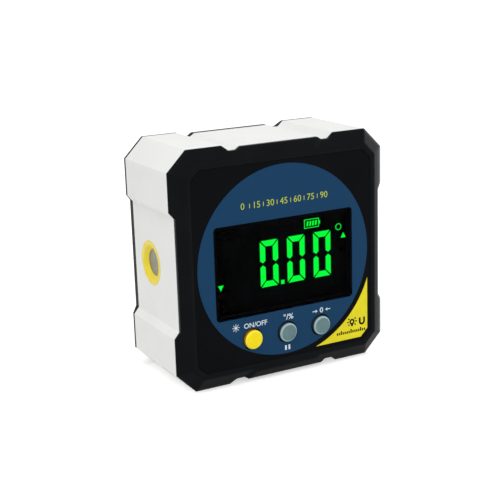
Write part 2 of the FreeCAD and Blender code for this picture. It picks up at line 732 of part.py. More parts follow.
def build_face_film():
    body = new_body("face_film")
    outline = face_sketch(body, "outline", "film_front_y")
    draw_polygon(outline, octagon("film_half - fit_gap", "film_corner"))
    pad_to_back(body, "sheet", outline, "film_thick")
    cut_face_sheet(body, "film_front_y", "film_thick")
    return body


def build_dial_label():
    body = new_body("dial_label")
    outline = face_sketch(body, "outline", "label_front_y")
    draw_polygon(outline, octagon("film_half - fit_gap", "film_corner"))
    pad_to_back(body, "sheet", outline, "label_thick")
    beyond = face_sketch(body, "beyond_the_disc", "label_front_y")
    draw_centred(beyond, "half", "half")
    draw_circle(beyond, "0", "0", "dial_radius")
    pocket(body, "disc", beyond, "label_thick")
    cut_face_sheet(body, "label_front_y", "label_thick")
    return body


def build_corner_label():
    """The label in the lower right corner: two straight edges, a cut corner and a hollow arc."""
    body = new_body("corner_label")
    sketch = face_sketch(body, "outline", "label_front_y")
    edge = "film_half - corner_margin"
    tip = f"sqrt(corner_arc ^ 2 - ({edge}) ^ 2)"
    near = f"{edge} - corner_label_cut"
    corners = [(edge, minus(tip)), (edge, minus(near)), (near, minus(edge)), (tip, minus(edge))]
    spots = [Vector(value(across), value(up), 0) for across, up in corners]
    for here, there in zip(spots, spots[1:]):
        sketch.addGeometry(Part.LineSegment(here, there), False)
    circle = Part.Circle(Vector(0, 0, 0), Vector(0, 0, 1), value("corner_arc"))
    first, last = (math.atan2(spot.y, spot.x) for spot in (spots[3], spots[0]))
    arc = sketch.addGeometry(Part.ArcOfCircle(circle, first, last), False)
    for joint in ((0, 2, 1, 1), (1, 2, 2, 1), (2, 2, arc, 1), (arc, 2, 0, 1), (arc, 3, -1, 1)):
        sketch.addConstraint(Sketcher.Constraint("Coincident", *joint))
    for i, (across, up) in enumerate(corners[:3]):
        place_point(sketch, i, 1, across, up)
    low = sketch.addConstraint(Sketcher.Constraint("DistanceY", arc, 1, value(minus(edge))))
    sketch.setExpression(f"Constraints[{low}]", bound(minus(edge)))
    pad_to_back(body, "sheet", sketch, "label_thick")
    return body


def build_display_window():
    body = new_body("display_window")
    outline = face_sketch(body, "outline", "label_front_y")
    half_width = "window_width / 2 - fit_gap"
    half_height = "window_height / 2 - fit_gap"
    draw_centred(outline, half_width, half_height, "window_z")
    pad_to_back(body, "sheet", outline, "lens_thick")
    round_edges(body, "rounds", "window_round - fit_gap", window_corners(half_width, half_height))
    return body


def build_button(name, across):
    """A round bevelled cap on an eight-sided flange behind the face, with a stem towards its switch."""
    body = new_body(name)
    round_profile(body, "cap", "y", (across, "half - (button_drop)"), [
        ("button_top_y", "0"),
        ("button_top_y", "button_radius - button_bevel"),
        ("button_top_y + button_bevel", "button_radius"),
        ("flange_front_y", "button_radius"),
        ("flange_front_y", "0"),
    ])
    flange = face_sketch(body, "flange_outline", "flange_front_y")
    draw_eight_sided(flange, across, "-(button_drop)", "flange_radius")
    pad_to_back(body, "flange", flange, "flange_thick")
    stem = face_sketch(body, "stem_outline", "flange_back_y")
    draw_eight_sided(stem, across, "-(button_drop)", "stem_radius")
    pad_to_back(body, "stem", stem, "stem_length")
    return body


# The display and the board.

def build_display_panel():
    """Two glasses; the front one is taller and leaves a strip for the contact rubber."""
    body = new_body("display_panel")
    middle = "panel_front_y + panel_thick / 2"
    sketch = side_sketch(body, "section", "-(panel_width) / 2")
    draw_polygon(sketch, [
        ("panel_front_y", "panel_low"), (middle, "panel_low"), (middle, "panel_low + panel_step"),
        ("panel_back_y", "panel_low + panel_step"), ("panel_back_y", "panel_high"),
        ("panel_front_y", "panel_high")])
    pad(body, "glasses", sketch, "panel_width")
    return body


def box(name, across, along, up):
    """A plain block between two formulas in each direction; up is measured from the middle."""
    block = doc.addObject("Part::Box", name)
    block.Label = name
    for size, place, (low, high), lift in (("Length", "x", across, "0"), ("Width", "y", along, "0"),
                                          ("Height", "z", up, "half")):
        block.setExpression(size, bound(f"({high}) - ({low})"))
        block.setExpression(f"Placement.Base.{place}", bound(f"{lift} + ({low})"))
    return block


def centred(middle, size):
    """The two ends of a length about its middle."""
    return (f"{middle} - ({size}) / 2", f"{middle} + ({size}) / 2")


def build_light_guide():
    return box("light_guide", centred("0", "panel_width - 2 * light_edge"),
               ("panel_back_y", "board_front_y"), ("panel_low + panel_step + light_edge", "panel_high"))


def build_contact_strip():
    """The rubber strip that carries the board's signals to the front glass."""
    middle = "panel_low + panel_step / 2"
    return box("contact_strip", centred("0", "panel_width - 2 * strip_end"),
               ("panel_front_y + panel_thick / 2", "board_front_y"), centred(middle, "strip_thick"))


def build_main_board():
    body = new_body("main_board")
    notch = "case_post_place - case_post_radius - board_corner_gap"
    corner = [("board_half", minus(notch)), ("board_half", notch), (notch, notch)]
    outline = face_sketch(body, "outline", "board_front_y")
    draw_polygon(outline, [spot for turns in range(4) for spot in quarter_turns(corner, turns)[1:]
                           + [quarter_turns([corner[0]], turns + 1)[0]]])
    pad_to_back(body, "sheet", outline, "board_thick")
    holes = face_sketch(body, "screw_holes_outline", "board_front_y")
    draw_at_board_screws(holes, "board_screw_radius + fit_gap")
    pocket(body, "screw_holes", holes, "board_thick")
    return body


def build_key_switches():
    """Three small push switches on the board, one behind each button."""
    blocks = []
    for count, across in enumerate(("-button_spacing", "0", "button_spacing")):
        block = box(f"switch_block_{count}", centred(across, "switch_side"),
                    ("switch_front_y", "board_front_y"), centred("-(button_drop)", "switch_side"))
        plunger = doc.addObject("Part::Prism", f"switch_plunger_{count}")
        plunger.Polygon = 8
        plunger.setExpression("Circumradius", bound("plunger_radius"))
        plunger.setExpression("Height", bound("plunger_height"))
        plunger.Placement = Placement(Vector(), Rotation(Vector(1, 0, 0), -90))
        for axis, formula in zip("xyz", (across, "plunger_front_y", "half - (button_drop)")):
            plunger.setExpression(f"Placement.Base.{axis}", bound(formula))
        one = doc.addObject("Part::Fuse", f"switch_{count}")
        one.Base = block
        one.Tool = plunger
        blocks.append(one)
    return group_of("key_switches", blocks)


def build_chips():
    """The controller, the tilt sensor and the timing crystal on the back of the board."""
    rear = ("board_back_y", "board_back_y + chip_thick")
    return [
        box("controller_chip", centred("-chip_left", "chip_side"), rear, centred("-chip_down", "chip_side")),
        box("tilt_sensor", centred("0", "sensor_side"), rear, centred("0", "sensor_side")),
        box("timing_crystal", centred("crystal_right", "crystal_length"), rear,
            centred("-chip_down", "crystal_height")),
    ]


def build_screw(name, draw_head, across, up, seat, radius, length, head_radius, head_height):
    """A plain screw along Y: an eight-sided shank with its head towards the back."""
    body = new_body(name)
    shank = face_sketch(body, "shank_outline", f"{seat} - ({length})")
    draw_eight_sided(shank, across, up, radius)
    pad_to_back(body, "shank", shank, length)
    head = face_sketch(body, "head_outline", seat)
    draw_head(head, across, up, head_radius)
    pad_to_back(body, "head", head, head_height)
    return body


def cut_drive(body, across, up, top):
    """The six-sided recess in a screw's head."""
    sketch = face_sketch(body, "drive_outline", f"{top} - drive_depth")
    ends = [("drive_half", "drive_half / sqrt(3)"), ("0", "2 * drive_half / sqrt(3)"),
            ("-drive_half", "drive_half / sqrt(3)")]
    ends += [(minus(x), minus(z)) for x, z in ends]
    draw_polygon(sketch, [(f"{across} + ({x})", f"{up} + ({z})") for x, z in ends])
    pocket(body, "drive", sketch, "drive_depth")


def group_of(name, pieces):
    group = doc.addObject("Part::Compound", name)
    group.Links = pieces
    group.Label = name
    return group


def build_board_screws():
    screws = []
    for across in ("board_post_across", "-(board_post_across)"):
        for up in ("board_post_up", "-(button_drop)"):
            screws.append(build_screw(f"board_screw_{len(screws)}", draw_eight_sided, across, up,
                                      "board_back_y", "board_screw_radius", "board_screw_length",
                                      "board_head_radius", "board_head_height"))
    return group_of("board_screws", screws)


def build_case_screws():
    screws = []
    length = "case_seat_y - (post_end_y) + case_screw_bite"
    for across in ("case_post_place", "-(case_post_place)"):
        for up in ("case_post_place", "-(case_post_place)"):
            screw = build_screw(f"case_screw_{len(screws)}", draw_circle, across, up, "case_seat_y",
                                "case_screw_radius", length, "case_head_radius", "case_head_height")
            cut_drive(screw, across, up, "case_seat_y + case_head_height")
            screws.append(screw)
    return group_of("case_screws", screws)


# The back: cover, battery door, cells and contacts.

def build_rear_cover():
    body = new_body("rear_cover")
    add_bevelled_rim(body, "rear_rim_y", "rear_land_y", "back_y")
    cut_recesses(body, "rear_rim_y", "back_y - (rear_rim_y)")
    add_middle_blocks(body, "rear_rim_y", "back_y", "rear_bevel", True)
    hollow = face_sketch(body, "hollow_outline", "rear_rim_y")
    draw_polygon(hollow, octagon("skirt_inner", "skirt_inner_corner"))
    pocket(body, "hollow", hollow, "plate_inner_y - (rear_rim_y)")
    add_skirt(body, "rear_rim_y - skirt_length")
    add_columns(body)
    add_compartment(body)
    notch = face_sketch(body, "nail_notch_outline", "back_y - nail_depth")
    draw_circle(notch, "0", "opening_half_height", "nail_radius")
    pocket(body, "nail_notch", notch, "nail_depth")
    return body


def add_columns(body):
    """Four columns that the case screws go down, with room for their heads."""
    columns = face_sketch(body, "columns_outline", "post_end_y")
    draw_four(columns, draw_eight_sided, "case_post_radius")
    pad_to_back(body, "columns", columns, "plate_inner_y - (post_end_y)")
    shafts = face_sketch(body, "shaft_holes_outline", "post_end_y")
    draw_four(shafts, draw_eight_sided, "case_screw_hole")
    pocket(body, "shaft_holes", shafts, "back_y - (post_end_y)")
    heads = face_sketch(body, "head_holes_outline", "case_seat_y")
    draw_four(heads, draw_circle, "case_head_hole")
    pocket(body, "head_holes", heads, "case_head_sunk")


def add_compartment(body):
    """The battery compartment: a tub behind the door's opening, with slots for hooks and contacts."""
    block = face_sketch(body, "tub_outline", "tub_floor_y - tub_floor_wall")
    draw_centred(block, "tub_half_length + tub_end_wall", "tub_half_height + tub_side_wall")
    pad_to_back(body, "tub", block, "plate_inner_y - (tub_floor_y) + tub_floor_wall")
    inside = face_sketch(body, "tub_inside_outline", "tub_floor_y")
    draw_centred(inside, "tub_half_length", "tub_half_height")
    pocket(body, "tub_inside", inside, "back_y - (tub_floor_y)")
    opening = face_sketch(body, "opening_outline", "plate_inner_y")
    draw_centred(opening, "opening_half_width", "opening_half_height")
    pocket(body, "opening", opening, "cover_plate")
    rib = face_sketch(body, "rib_outline", "tub_floor_y")
    draw_centred(rib, "tub_half_length - rib_end_gap", "rib_wall / 2")
    pad_to_back(body, "rib", rib, "rib_height")
    slots = face_sketch(body, "hook_slots_outline",
                        "door_inner_y - hook_step - hook_thick - hook_clear")
    for middle in ("-hook_place", "hook_place"):
        left, right = centred(middle, "hook_width + 2 * hook_clear")
        draw_rectangle(slots, left, right, "-(tub_half_height) - tub_side_wall", "-(tub_half_height)")
    pocket(body, "hook_slots", slots,
           "plate_inner_y - (door_inner_y) + hook_step + hook_thick + hook_clear")
    tails = face_sketch(body, "tail_slots_outline", "tub_floor_y - tub_floor_wall")
    for up in ("cell_up", "-(cell_up)"):
        low, high = centred(up, "tail_width + 2 * fit_gap")
        draw_rectangle(tails, "-(tub_half_length)", "-(plate_face) + fit_gap", low, high)
    pocket(body, "tail_slots", tails, "tub_floor_wall")


def build_battery_door():
    body = new_body("battery_door")
    sheet_outline = face_sketch(body, "outline", "door_inner_y")
    draw_centred(sheet_outline, "door_half_width", "door_half_height")
    pad_to_back(body, "plate", sheet_outline, "door_thick")
    round_edges(body, "rounds", "door_round", lambda edge: runs_along(edge, Vector(0, 1, 0)))
    add_hooks(body)
    add_clip(body)
    groove = face_sketch(body, "groove_outline", "back_y - groove_depth")
    draw_centred(groove, "groove_length / 2", "groove_width / 2", "door_half_height - groove_below")
    cut = pocket(body, "groove", groove, "groove_depth")
    rows = body.newObject("PartDesign::LinearPattern", "grooves")
    rows.Originals = [cut]
    rows.Direction = (groove, ["V_Axis"])
    rows.Reversed = True
    rows.Occurrences = 3
    rows.setExpression("Length", bound("2 * groove_pitch"))
    body.Tip = rows
    return body


def add_hooks(body):
    """Two hooks at the lower edge, which catch behind the cover."""
    edge = "-(door_half_height) + hook_step"
    inner = "door_inner_y - hook_step"
    for name, middle in (("left", "-hook_place"), ("right", "hook_place")):
        section = side_sketch(body, f"{name}_hook_section", f"{middle} - hook_width / 2")
        draw_polygon(section, [
            ("door_inner_y", f"{edge} + hook_arm"),
            (f"{inner} - hook_thick", f"{edge} + hook_arm"),
            (f"{inner} - hook_thick", "-(door_half_height) - hook_reach"),
            (inner, "-(door_half_height) - hook_reach"),
            (inner, edge),
            ("door_inner_y", edge)])
        pad(body, f"{name}_hook", section, "hook_width")


def add_clip(body):
    """The spring clip inside the upper edge."""
    foot = "door_half_height - clip_below"
    far = "door_inner_y - clip_depth"
    section = side_sketch(body, "clip_section", "-clip_width / 2")
    draw_polygon(section, [
        ("door_inner_y", foot), (far, foot), (far, f"{foot} + clip_rise"),
        (f"{far} + clip_thick", f"{foot} + clip_rise"), (f"{far} + clip_thick", f"{foot} + clip_thick"),
        ("door_inner_y", f"{foot} + clip_thick")])
    pad(body, "clip", section, "clip_width")


def build_cell(name, up, out_sign):
    """A round cell; its nub points to the left or the right."""
    along = [("nub_end", "0"), ("nub_end", "nub_radius"), ("nub_end - nub_length", "nub_radius"),
             ("nub_end - nub_length", "cell_radius - cell_edge"),
             ("nub_end - nub_length - cell_edge", "cell_radius"),
             ("cell_far_end + cell_edge", "cell_radius"),
             ("cell_far_end", "cell_radius - cell_edge"), ("cell_far_end", "0")]
    if out_sign < 0:
        along = [(minus(place), radius) for place, radius in along]
    body = new_body(name)
    round_profile(body, "cell", "x", ("cell_y", f"half + ({up})"), along)
    return body


def add_dimple(body, up, out_sign):
    """The dimple that meets a cell's nub."""
    place = "plate_face" if out_sign > 0 else "-(plate_face)"
    sketch = side_sketch(body, "dimple_outline", place)
    draw_circle(sketch, "cell_y", up, "dimple_radius")
    pad(body, "dimple", sketch, "dimple_height", backwards=out_sign > 0)


def build_end_contact(name, up, with_dimple):
    """A sheet contact at the left end, with a tail that reaches the board."""
    body = new_body(name)
    sketch = side_sketch(body, "outline", "-(tub_half_length)")
    low, high = centred(up, "plate_width")
    tail_low, tail_high = centred(up, "tail_width")
    near = "tub_floor_y + plate_lift"
    far = f"{near} + plate_depth"
    draw_polygon(sketch, [
        (near, low), (far, low), (far, high), (near, high), (near, tail_high),
        ("board_back_y", tail_high), ("board_back_y", tail_low), (near, tail_low)])
    pad(body, "sheet", sketch, "plate_thick")
    if with_dimple:
        add_dimple(body, up, -1)
    return body


def build_bridge_contact():
    """The sheet contact at the right end, which joins both cells."""
    body = new_body("contact_bridge")
    sketch = side_sketch(body, "outline", "plate_face")
    near = "tub_floor_y + plate_lift"
    draw_rectangle(sketch, near, f"{near} + plate_depth",
                   "-(cell_up) - plate_width / 2", "cell_up + plate_width / 2")
    pad(body, "sheet", sketch, "plate_thick")
    add_dimple(body, "-(cell_up)", 1)
    return body


def cone_spring(up, out_sign):
    """A wire spring that narrows from its contact to its cell, on an axis along X."""
    wire = value("spring_wire")
    base, tip = value("spring_base"), value("spring_tip")
    rise = value("plate_face + (cell_far_end)") - 2 * wire
    turns = value("spring_turns")
    steps = round(turns * STEPS_IN_A_TURN)
    line = []
    for i in range(steps + 1):
        part = i / steps
        radius = base + (tip - base) * part
        angle = math.tau * turns * part
        line.append(Vector(radius * math.cos(angle), radius * math.sin(angle), rise * part))
    across = Rotation(Vector(0, 0, 1), line[1] - line[0])
    rim = []
    for i in range(SIDES_OF_THE_WIRE + 1):
        angle = math.tau * i / SIDES_OF_THE_WIRE
        rim.append(line[0] + across.multVec(Vector(wire * math.cos(angle), wire * math.sin(angle), 0)))
    coil = Part.makePolygon(line).makePipeShell([Part.makePolygon(rim)], True, False, 1)
    start = Vector(out_sign * (value("plate_face") - wire), value("cell_y"), value(f"half + ({up})"))
    coil.Placement = Placement(start, Rotation(Vector(0, 1, 0), -90 * out_sign))
    return coil


def build_contact_springs():
    group = doc.addObject("Part::Feature", "contact_springs")
    group.Shape = Part.makeCompound([cone_spring("cell_up", 1), cone_spring("-(cell_up)", -1)])
    group.Label = "contact_springs"
    return group


def build_all():
    return [
        build_body_shell(),
        *build_magnets(),
        build_front_bezel(),
        build_face_film(),
        build_dial_label(),
        build_corner_label(),
        build_display_window(),
        build_button("button_power", "-button_spacing"),
        build_button("button_hold", "0"),
        build_button("button_zero", "button_spacing"),
        build_display_panel(),
        build_light_guide(),
        build_contact_strip(),
        build_main_board(),
        build_key_switches(),
        *build_chips(),
        build_board_screws(),
        build_case_screws(),
        build_rear_cover(),
        build_battery_door(),
        build_cell("battery_upper", "cell_up", -1),
        build_cell("battery_lower", "-(cell_up)", 1),
        build_end_contact("contact_positive", "cell_up", True),
        build_end_contact("contact_negative", "-(cell_up)", False),
        build_bridge_contact(),
        build_contact_springs(),
    ]


def check(pieces):
    """Stops if any object failed to build or any piece has no sound shape."""
    for thing in doc.Objects:
        if "Invalid" in thing.State or "Error" in thing.State:
            raise RuntimeError(f"{thing.Label} failed: {thing.State}")
    for piece in pieces:
        if piece.Shape.isNull() or not piece.Shape.isValid():
            raise RuntimeError(f"{piece.Label} has no sound shape")


def main():
    fill_sheet()
    pieces = build_all()
    doc.recompute()
    check(pieces)
    os.makedirs("parts", exist_ok=True)
    for piece in pieces:
        piece.Shape.exportStep(f"parts/{piece.Label}.step")
        box_now = piece.Shape.BoundBox
        print(f"{piece.Label}: {len(piece.Shape.Solids)} solid(s), "
              f"x {box_now.XMin:.2f} to {box_now.XMax:.2f}, y {box_now.YMin:.2f} to {box_now.YMax:.2f}, "
              f"z {box_now.ZMin:.2f} to {box_now.ZMax:.2f}, volume {piece.Shape.Volume:.1f}")


main()
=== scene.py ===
# %% [markdown]
# # Dressing a digital angle gauge
#
# The gauge is a white plastic box, 60 mm square, between a black front bezel and a black rear
# cover. Its solids come from CAD and are already in place. This lesson gives each solid its
# finish, adds the pieces that are too fine for CAD, such as the lit digits and the print, and
# sets up the camera and the light.

# %% Load the solids of the gauge
import math

import bmesh
import bpy
from mathutils import Matrix, Vector


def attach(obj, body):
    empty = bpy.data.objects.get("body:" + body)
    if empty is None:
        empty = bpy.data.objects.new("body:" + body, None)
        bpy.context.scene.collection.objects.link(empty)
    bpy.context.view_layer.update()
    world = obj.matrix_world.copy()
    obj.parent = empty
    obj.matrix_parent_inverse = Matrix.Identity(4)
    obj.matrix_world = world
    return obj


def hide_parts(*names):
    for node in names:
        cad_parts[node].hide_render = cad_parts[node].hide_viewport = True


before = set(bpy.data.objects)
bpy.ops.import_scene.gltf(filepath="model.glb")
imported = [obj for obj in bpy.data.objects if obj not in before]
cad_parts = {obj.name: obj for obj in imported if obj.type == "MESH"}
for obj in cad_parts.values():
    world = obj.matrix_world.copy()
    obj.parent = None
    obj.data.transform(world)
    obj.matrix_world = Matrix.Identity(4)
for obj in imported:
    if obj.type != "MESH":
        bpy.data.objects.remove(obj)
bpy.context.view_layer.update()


# %% [markdown]
# ## The camera
#
# The photograph looks down on the gauge a little, from the left, with a long lens. A camera can
# be turned by hand until it looks right. Here its place, the point it looks at and its small lean
# are written down instead, because these three give its whole turn and nothing is left to
# guesswork.

# %% Place the camera
CAMERA_PLACE = Vector((-0.13586, -0.24701, 0.10487))
CAMERA_AIM = Vector((-0.008594, -0.012, 0.033409))
CAMERA_LEAN = math.radians(-1.797)


def camera_turn(place, aim, lean):
    """The camera's axes as a matrix: right, up and backwards."""
    ahead = (aim - place).normalized()
    level = ahead.cross(Vector((0, 0, 1))).normalized()
    upright = level.cross(ahead)
    right = level * math.cos(lean) + upright * math.sin(lean)
    up = upright * math.cos(lean) - level * math.sin(lean)
    return Matrix((right, up, -ahead)).transposed().to_4x4()


lens = bpy.data.cameras.new("studio_camera")
lens.lens = 81.4
lens.sensor_width = 36.0
lens.clip_start = 0.01
camera = bpy.data.objects.new("studio_camera", lens)
camera.matrix_world = Matrix.Translation(CAMERA_PLACE) @ camera_turn(CAMERA_PLACE, CAMERA_AIM, CAMERA_LEAN)
bpy.context.scene.collection.objects.link(camera)
bpy.context.scene.camera = camera
print("camera is", round((CAMERA_AIM - CAMERA_PLACE).length, 3), "m from what it looks at")

# %% [markdown]
# ## Helpers for every finish
#
# Moulded plastic, print and plated metal all need the same three things: a colour that is not
# quite even, a gloss that is not quite even, and a fine relief. All three start from noise in the
# object's own coordinates, which are in metres, so a scale of 1000 gives grains of about a
# millimetre. Colours are written as on a screen, from 0 to 255, and are turned into linear light
# once. One more helper paints highlight and shade into the colour where the surface faces a
# certain way, such as a pale sheen on a rounded edge.

# %% Colour and noise helpers
def linear(red, green, blue):
    """A screen colour in linear light, with full opacity."""
    channels = []
    for channel in (red, green, blue):
        part = channel / 255
        channels.append(part / 12.92 if part <= 0.04045 else ((part + 0.055) / 1.055) ** 2.4)
    return (*channels, 1.0)


def new_finish(name):
    """A new material: its nodes, its links and its main shader."""
    material = bpy.data.materials.new(name)
    material.use_nodes = True
    tree = material.node_tree
    return material, tree, tree.nodes["Principled BSDF"]


def noise(tree, scale, detail=3.0, stretch=(1.0, 1.0, 1.0)):
    """Noise over the object, optionally drawn out along an axis."""
    place = tree.nodes.new("ShaderNodeTexCoord")
    spread = tree.nodes.new("ShaderNodeMapping")
    spread.inputs["Scale"].default_value = stretch
    grains = tree.nodes.new("ShaderNodeTexNoise")
    grains.inputs["Scale"].default_value = scale
    grains.inputs["Detail"].default_value = detail
    tree.links.new(place.outputs["Object"], spread.inputs["Vector"])
    tree.links.new(spread.outputs["Vector"], grains.inputs["Vector"])
    return grains.outputs["Fac"]


def vary_colour(tree, shader, pattern, dark, light):
    """The colour runs from dark to light with the pattern."""
    ramp = tree.nodes.new("ShaderNodeValToRGB")
    ramp.color_ramp.elements[0].position = 0.3
    ramp.color_ramp.elements[1].position = 0.7
    ramp.color_ramp.elements[0].color = dark
    ramp.color_ramp.elements[1].color = light
    tree.links.new(pattern, ramp.inputs["Fac"])
    tree.links.new(ramp.outputs["Color"], shader.inputs["Base Color"])


def vary_gloss(tree, shader, pattern, smooth, rough):
    """The roughness runs from smooth to rough with the pattern."""
    span = tree.nodes.new("ShaderNodeMapRange")
    span.inputs["From Min"].default_value = 0.3
    span.inputs["From Max"].default_value = 0.7
    span.inputs["To Min"].default_value = smooth
    span.inputs["To Max"].default_value = rough
    tree.links.new(pattern, span.inputs["Value"])
    tree.links.new(span.outputs["Result"], shader.inputs["Roughness"])


def add_relief(tree, shader, pattern, height, strength=1.0):
    """Raises the surface with the pattern, by a height in metres."""
    relief = tree.nodes.new("ShaderNodeBump")
    relief.inputs["Distance"].default_value = height
    relief.inputs["Strength"].default_value = strength
    tree.links.new(pattern, relief.inputs["Height"])
    tree.links.new(relief.outputs["Normal"], shader.inputs["Normal"])
    return relief


def tint_by_facing(tree, shader, normal, axis, first, last, painted_light):
    """Paints light and shade: mixes a tint in where the surface turns from one share of an axis to another.
    """
    apart = tree.nodes.new("ShaderNodeSeparateXYZ")
    share = tree.nodes.new("ShaderNodeMapRange")
    share.inputs["From Min"].default_value = first
    share.inputs["From Max"].default_value = last
    mix = tree.nodes.new("ShaderNodeMix")
    mix.data_type = "RGBA"
    before, after = [socket for socket in mix.inputs if socket.type == "RGBA"]
    mixed = [socket for socket in mix.outputs if socket.type == "RGBA"][0]
    after.default_value = painted_light
    tree.links.new(normal, apart.inputs["Vector"])
    tree.links.new(apart.outputs[axis], share.inputs["Value"])
    tree.links.new(share.outputs["Result"], mix.inputs[0])
    tree.links.new(shader.inputs["Base Color"].links[0].from_socket, before)
    tree.links.new(mixed, shader.inputs["Base Color"])


def put_on(material, *names):
    """Gives CAD nodes their finish."""
    for name in names:
        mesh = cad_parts[name].data
        mesh.materials.clear()
        mesh.materials.append(material)
    print(material.name, "->", ", ".join(names))


# %% [markdown]
# ## The white body
#
# The body is moulded from white plastic with a fine spark-eroded grain. One could paint the grain
# into a picture, but noise keeps its size at any distance. A large, faint noise keeps the broad
# side from looking like paper, and a small one gives the grain.

# %% White moulding
def white_moulding():
    material, tree, shader = new_finish("white_moulding")
    vary_colour(tree, shader, noise(tree, 60), linear(234, 235, 232), linear(240, 241, 239))
    vary_gloss(tree, shader, noise(tree, 300), 0.42, 0.54)
    add_relief(tree, shader, noise(tree, 5200, 2.0), 0.00003, 0.35)
    return material


put_on(white_moulding(), "body_shell")

# %% [markdown]
# ## The black bezel and the black cover
#
# Both are satin black plastic. Black plastic shows almost only its reflections, so a weak mirror
# image matters more than its colour: the specular level is set low on the shader itself, and the
# roughness does the rest. The edges of the bezel are a little round. Rounding them in the mesh
# would take many faces, so a bevel node bends the light there instead. Its right edge gets a
# painted sheen: a pale grey in its colour stands in for the reflection on that rounded edge, and
# follows the same rounding. The facing alone would also paint the sheen on inner rims that look to
# the right, so the place across is added to it: 30 mm out, at the outer edge, it counts 0.6. The
# cover on the back has a coarser grain than the bezel and keeps its edges.

# %% Satin black for the bezel, grained black for the cover
OUTWARD_PER_METRE = 20.0


def satin_black():
    material, tree, shader = new_finish("satin_black")
    shader.inputs["Specular IOR Level"].default_value = 0.04
    vary_colour(tree, shader, noise(tree, 90), linear(10, 12, 14), linear(15, 17, 19))
    vary_gloss(tree, shader, noise(tree, 700), 0.28, 0.38)
    relief = add_relief(tree, shader, noise(tree, 4200, 2.0), 0.00002, 0.25)
    rounding = tree.nodes.new("ShaderNodeBevel")
    rounding.samples = 6
    rounding.inputs["Radius"].default_value = 0.0011
    tree.links.new(rounding.outputs["Normal"], relief.inputs["Normal"])
    place = tree.nodes.new("ShaderNodeTexCoord")
    painted_sheen_facing = tree.nodes.new("ShaderNodeVectorMath")
    painted_sheen_facing.operation = "MULTIPLY_ADD"
    painted_sheen_facing.inputs[1].default_value = (OUTWARD_PER_METRE, 0, 0)
    tree.links.new(place.outputs["Object"], painted_sheen_facing.inputs[0])
    tree.links.new(rounding.outputs["Normal"], painted_sheen_facing.inputs[2])
    # Painted sheen: pale grey mixed into the colour on the right outer rounding stands in for its reflection.
    tint_by_facing(tree, shader, painted_sheen_facing.outputs["Vector"], "X", 1.1, 1.3, linear(140, 142, 144))
    return material


def grained_black():
    material, tree, shader = new_finish("grained_black")
    shader.inputs["Specular IOR Level"].default_value = 0.1
    vary_colour(tree, shader, noise(tree, 90), linear(14, 16, 18), linear(20, 22, 24))
    vary_gloss(tree, shader, noise(tree, 500), 0.42, 0.56)
    add_relief(tree, shader, noise(tree, 2600, 3.0), 0.00005, 0.6)
    return material


put_on(satin_black(), "front_bezel")
put_on(grained_black(), "rear_cover", "battery_door")

# %% [markdown]
# ## The film and its two coloured labels
#
# The face is one printed film. Its black ground is smooth and glossy, the dial is a deep blue
# with a fine metallic grain, and the corner is a flat warning yellow. The three have one gloss,
# because one clear layer lies over them all, and differ only in colour and grain.

# %% Printed film
def film_black():
    material, tree, shader = new_finish("film_black")
    shader.inputs["Specular IOR Level"].default_value = 0.03
    vary_colour(tree, shader, noise(tree, 120), linear(8, 9, 12), linear(11, 12, 15))
    vary_gloss(tree, shader, noise(tree, 260), 0.16, 0.24)
    add_relief(tree, shader, noise(tree, 900, 1.0), 0.00001, 0.1)
    return material


def dial_blue():
    material, tree, shader = new_finish("dial_blue")
    shader.inputs["Specular IOR Level"].default_value = 0.05
    vary_colour(tree, shader, noise(tree, 7000, 2.0), linear(20, 57, 88), linear(27, 66, 101))
    vary_gloss(tree, shader, noise(tree, 2400), 0.26, 0.4)
    add_relief(tree, shader, noise(tree, 9000, 1.0), 0.00001, 0.25)
    return material


def corner_yellow():
    material, tree, shader = new_finish("corner_yellow")
    shader.inputs["Specular IOR Level"].default_value = 0.25
    vary_colour(tree, shader, noise(tree, 500), linear(226, 212, 12), linear(234, 221, 22))
    vary_gloss(tree, shader, noise(tree, 400), 0.28, 0.36)
    add_relief(tree, shader, noise(tree, 5000, 1.0), 0.00001, 0.15)
    return material


put_on(film_black(), "face_film")
put_on(dial_blue(), "dial_label")
put_on(corner_yellow(), "corner_label")

# %% [markdown]
# ## The window and the display behind it
#
# The window is a clear sheet with a coating against reflections, so it gets a very low refraction
# index: it lets the display through and mirrors almost nothing. The panel behind it is almost
# black with a faint blue shine, as a display of this kind is where nothing is lit. The light
# guide is milky, and the contact rubber has fine dark stripes.

# %% Window, panel, light guide and contact rubber
def clear_window():
    material, tree, shader = new_finish("clear_window")
    shader.inputs["Base Color"].default_value = (0.96, 0.98, 0.98, 1.0)
    shader.inputs["Transmission Weight"].default_value = 1.0
    shader.inputs["IOR"].default_value = 1.001
    vary_gloss(tree, shader, noise(tree, 200), 0.0, 0.02)
    return material


def display_dark():
    material, tree, shader = new_finish("display_dark")
    shader.inputs["Specular IOR Level"].default_value = 0.015
    vary_colour(tree, shader, noise(tree, 80), linear(1, 1, 2), linear(3, 3, 5))
    vary_gloss(tree, shader, noise(tree, 150), 0.2, 0.3)
    return material


def milky_guide():
    material, tree, shader = new_finish("milky_guide")
    vary_colour(tree, shader, noise(tree, 200), linear(214, 224, 220), linear(232, 240, 236))
    vary_gloss(tree, shader, noise(tree, 900), 0.3, 0.45)
    return material


def striped_rubber():
    material, tree, shader = new_finish("striped_rubber")
    place = tree.nodes.new("ShaderNodeTexCoord")
    stripes = tree.nodes.new("ShaderNodeTexWave")
    stripes.inputs["Scale"].default_value = 900
    tree.links.new(place.outputs["Object"], stripes.inputs["Vector"])
    vary_colour(tree, shader, stripes.outputs["Fac"], linear(40, 36, 38), linear(214, 150, 158))
    vary_gloss(tree, shader, noise(tree, 900), 0.6, 0.75)
    return material


put_on(clear_window(), "display_window")
put_on(display_dark(), "display_panel")
put_on(milky_guide(), "light_guide")
put_on(striped_rubber(), "contact_strip")
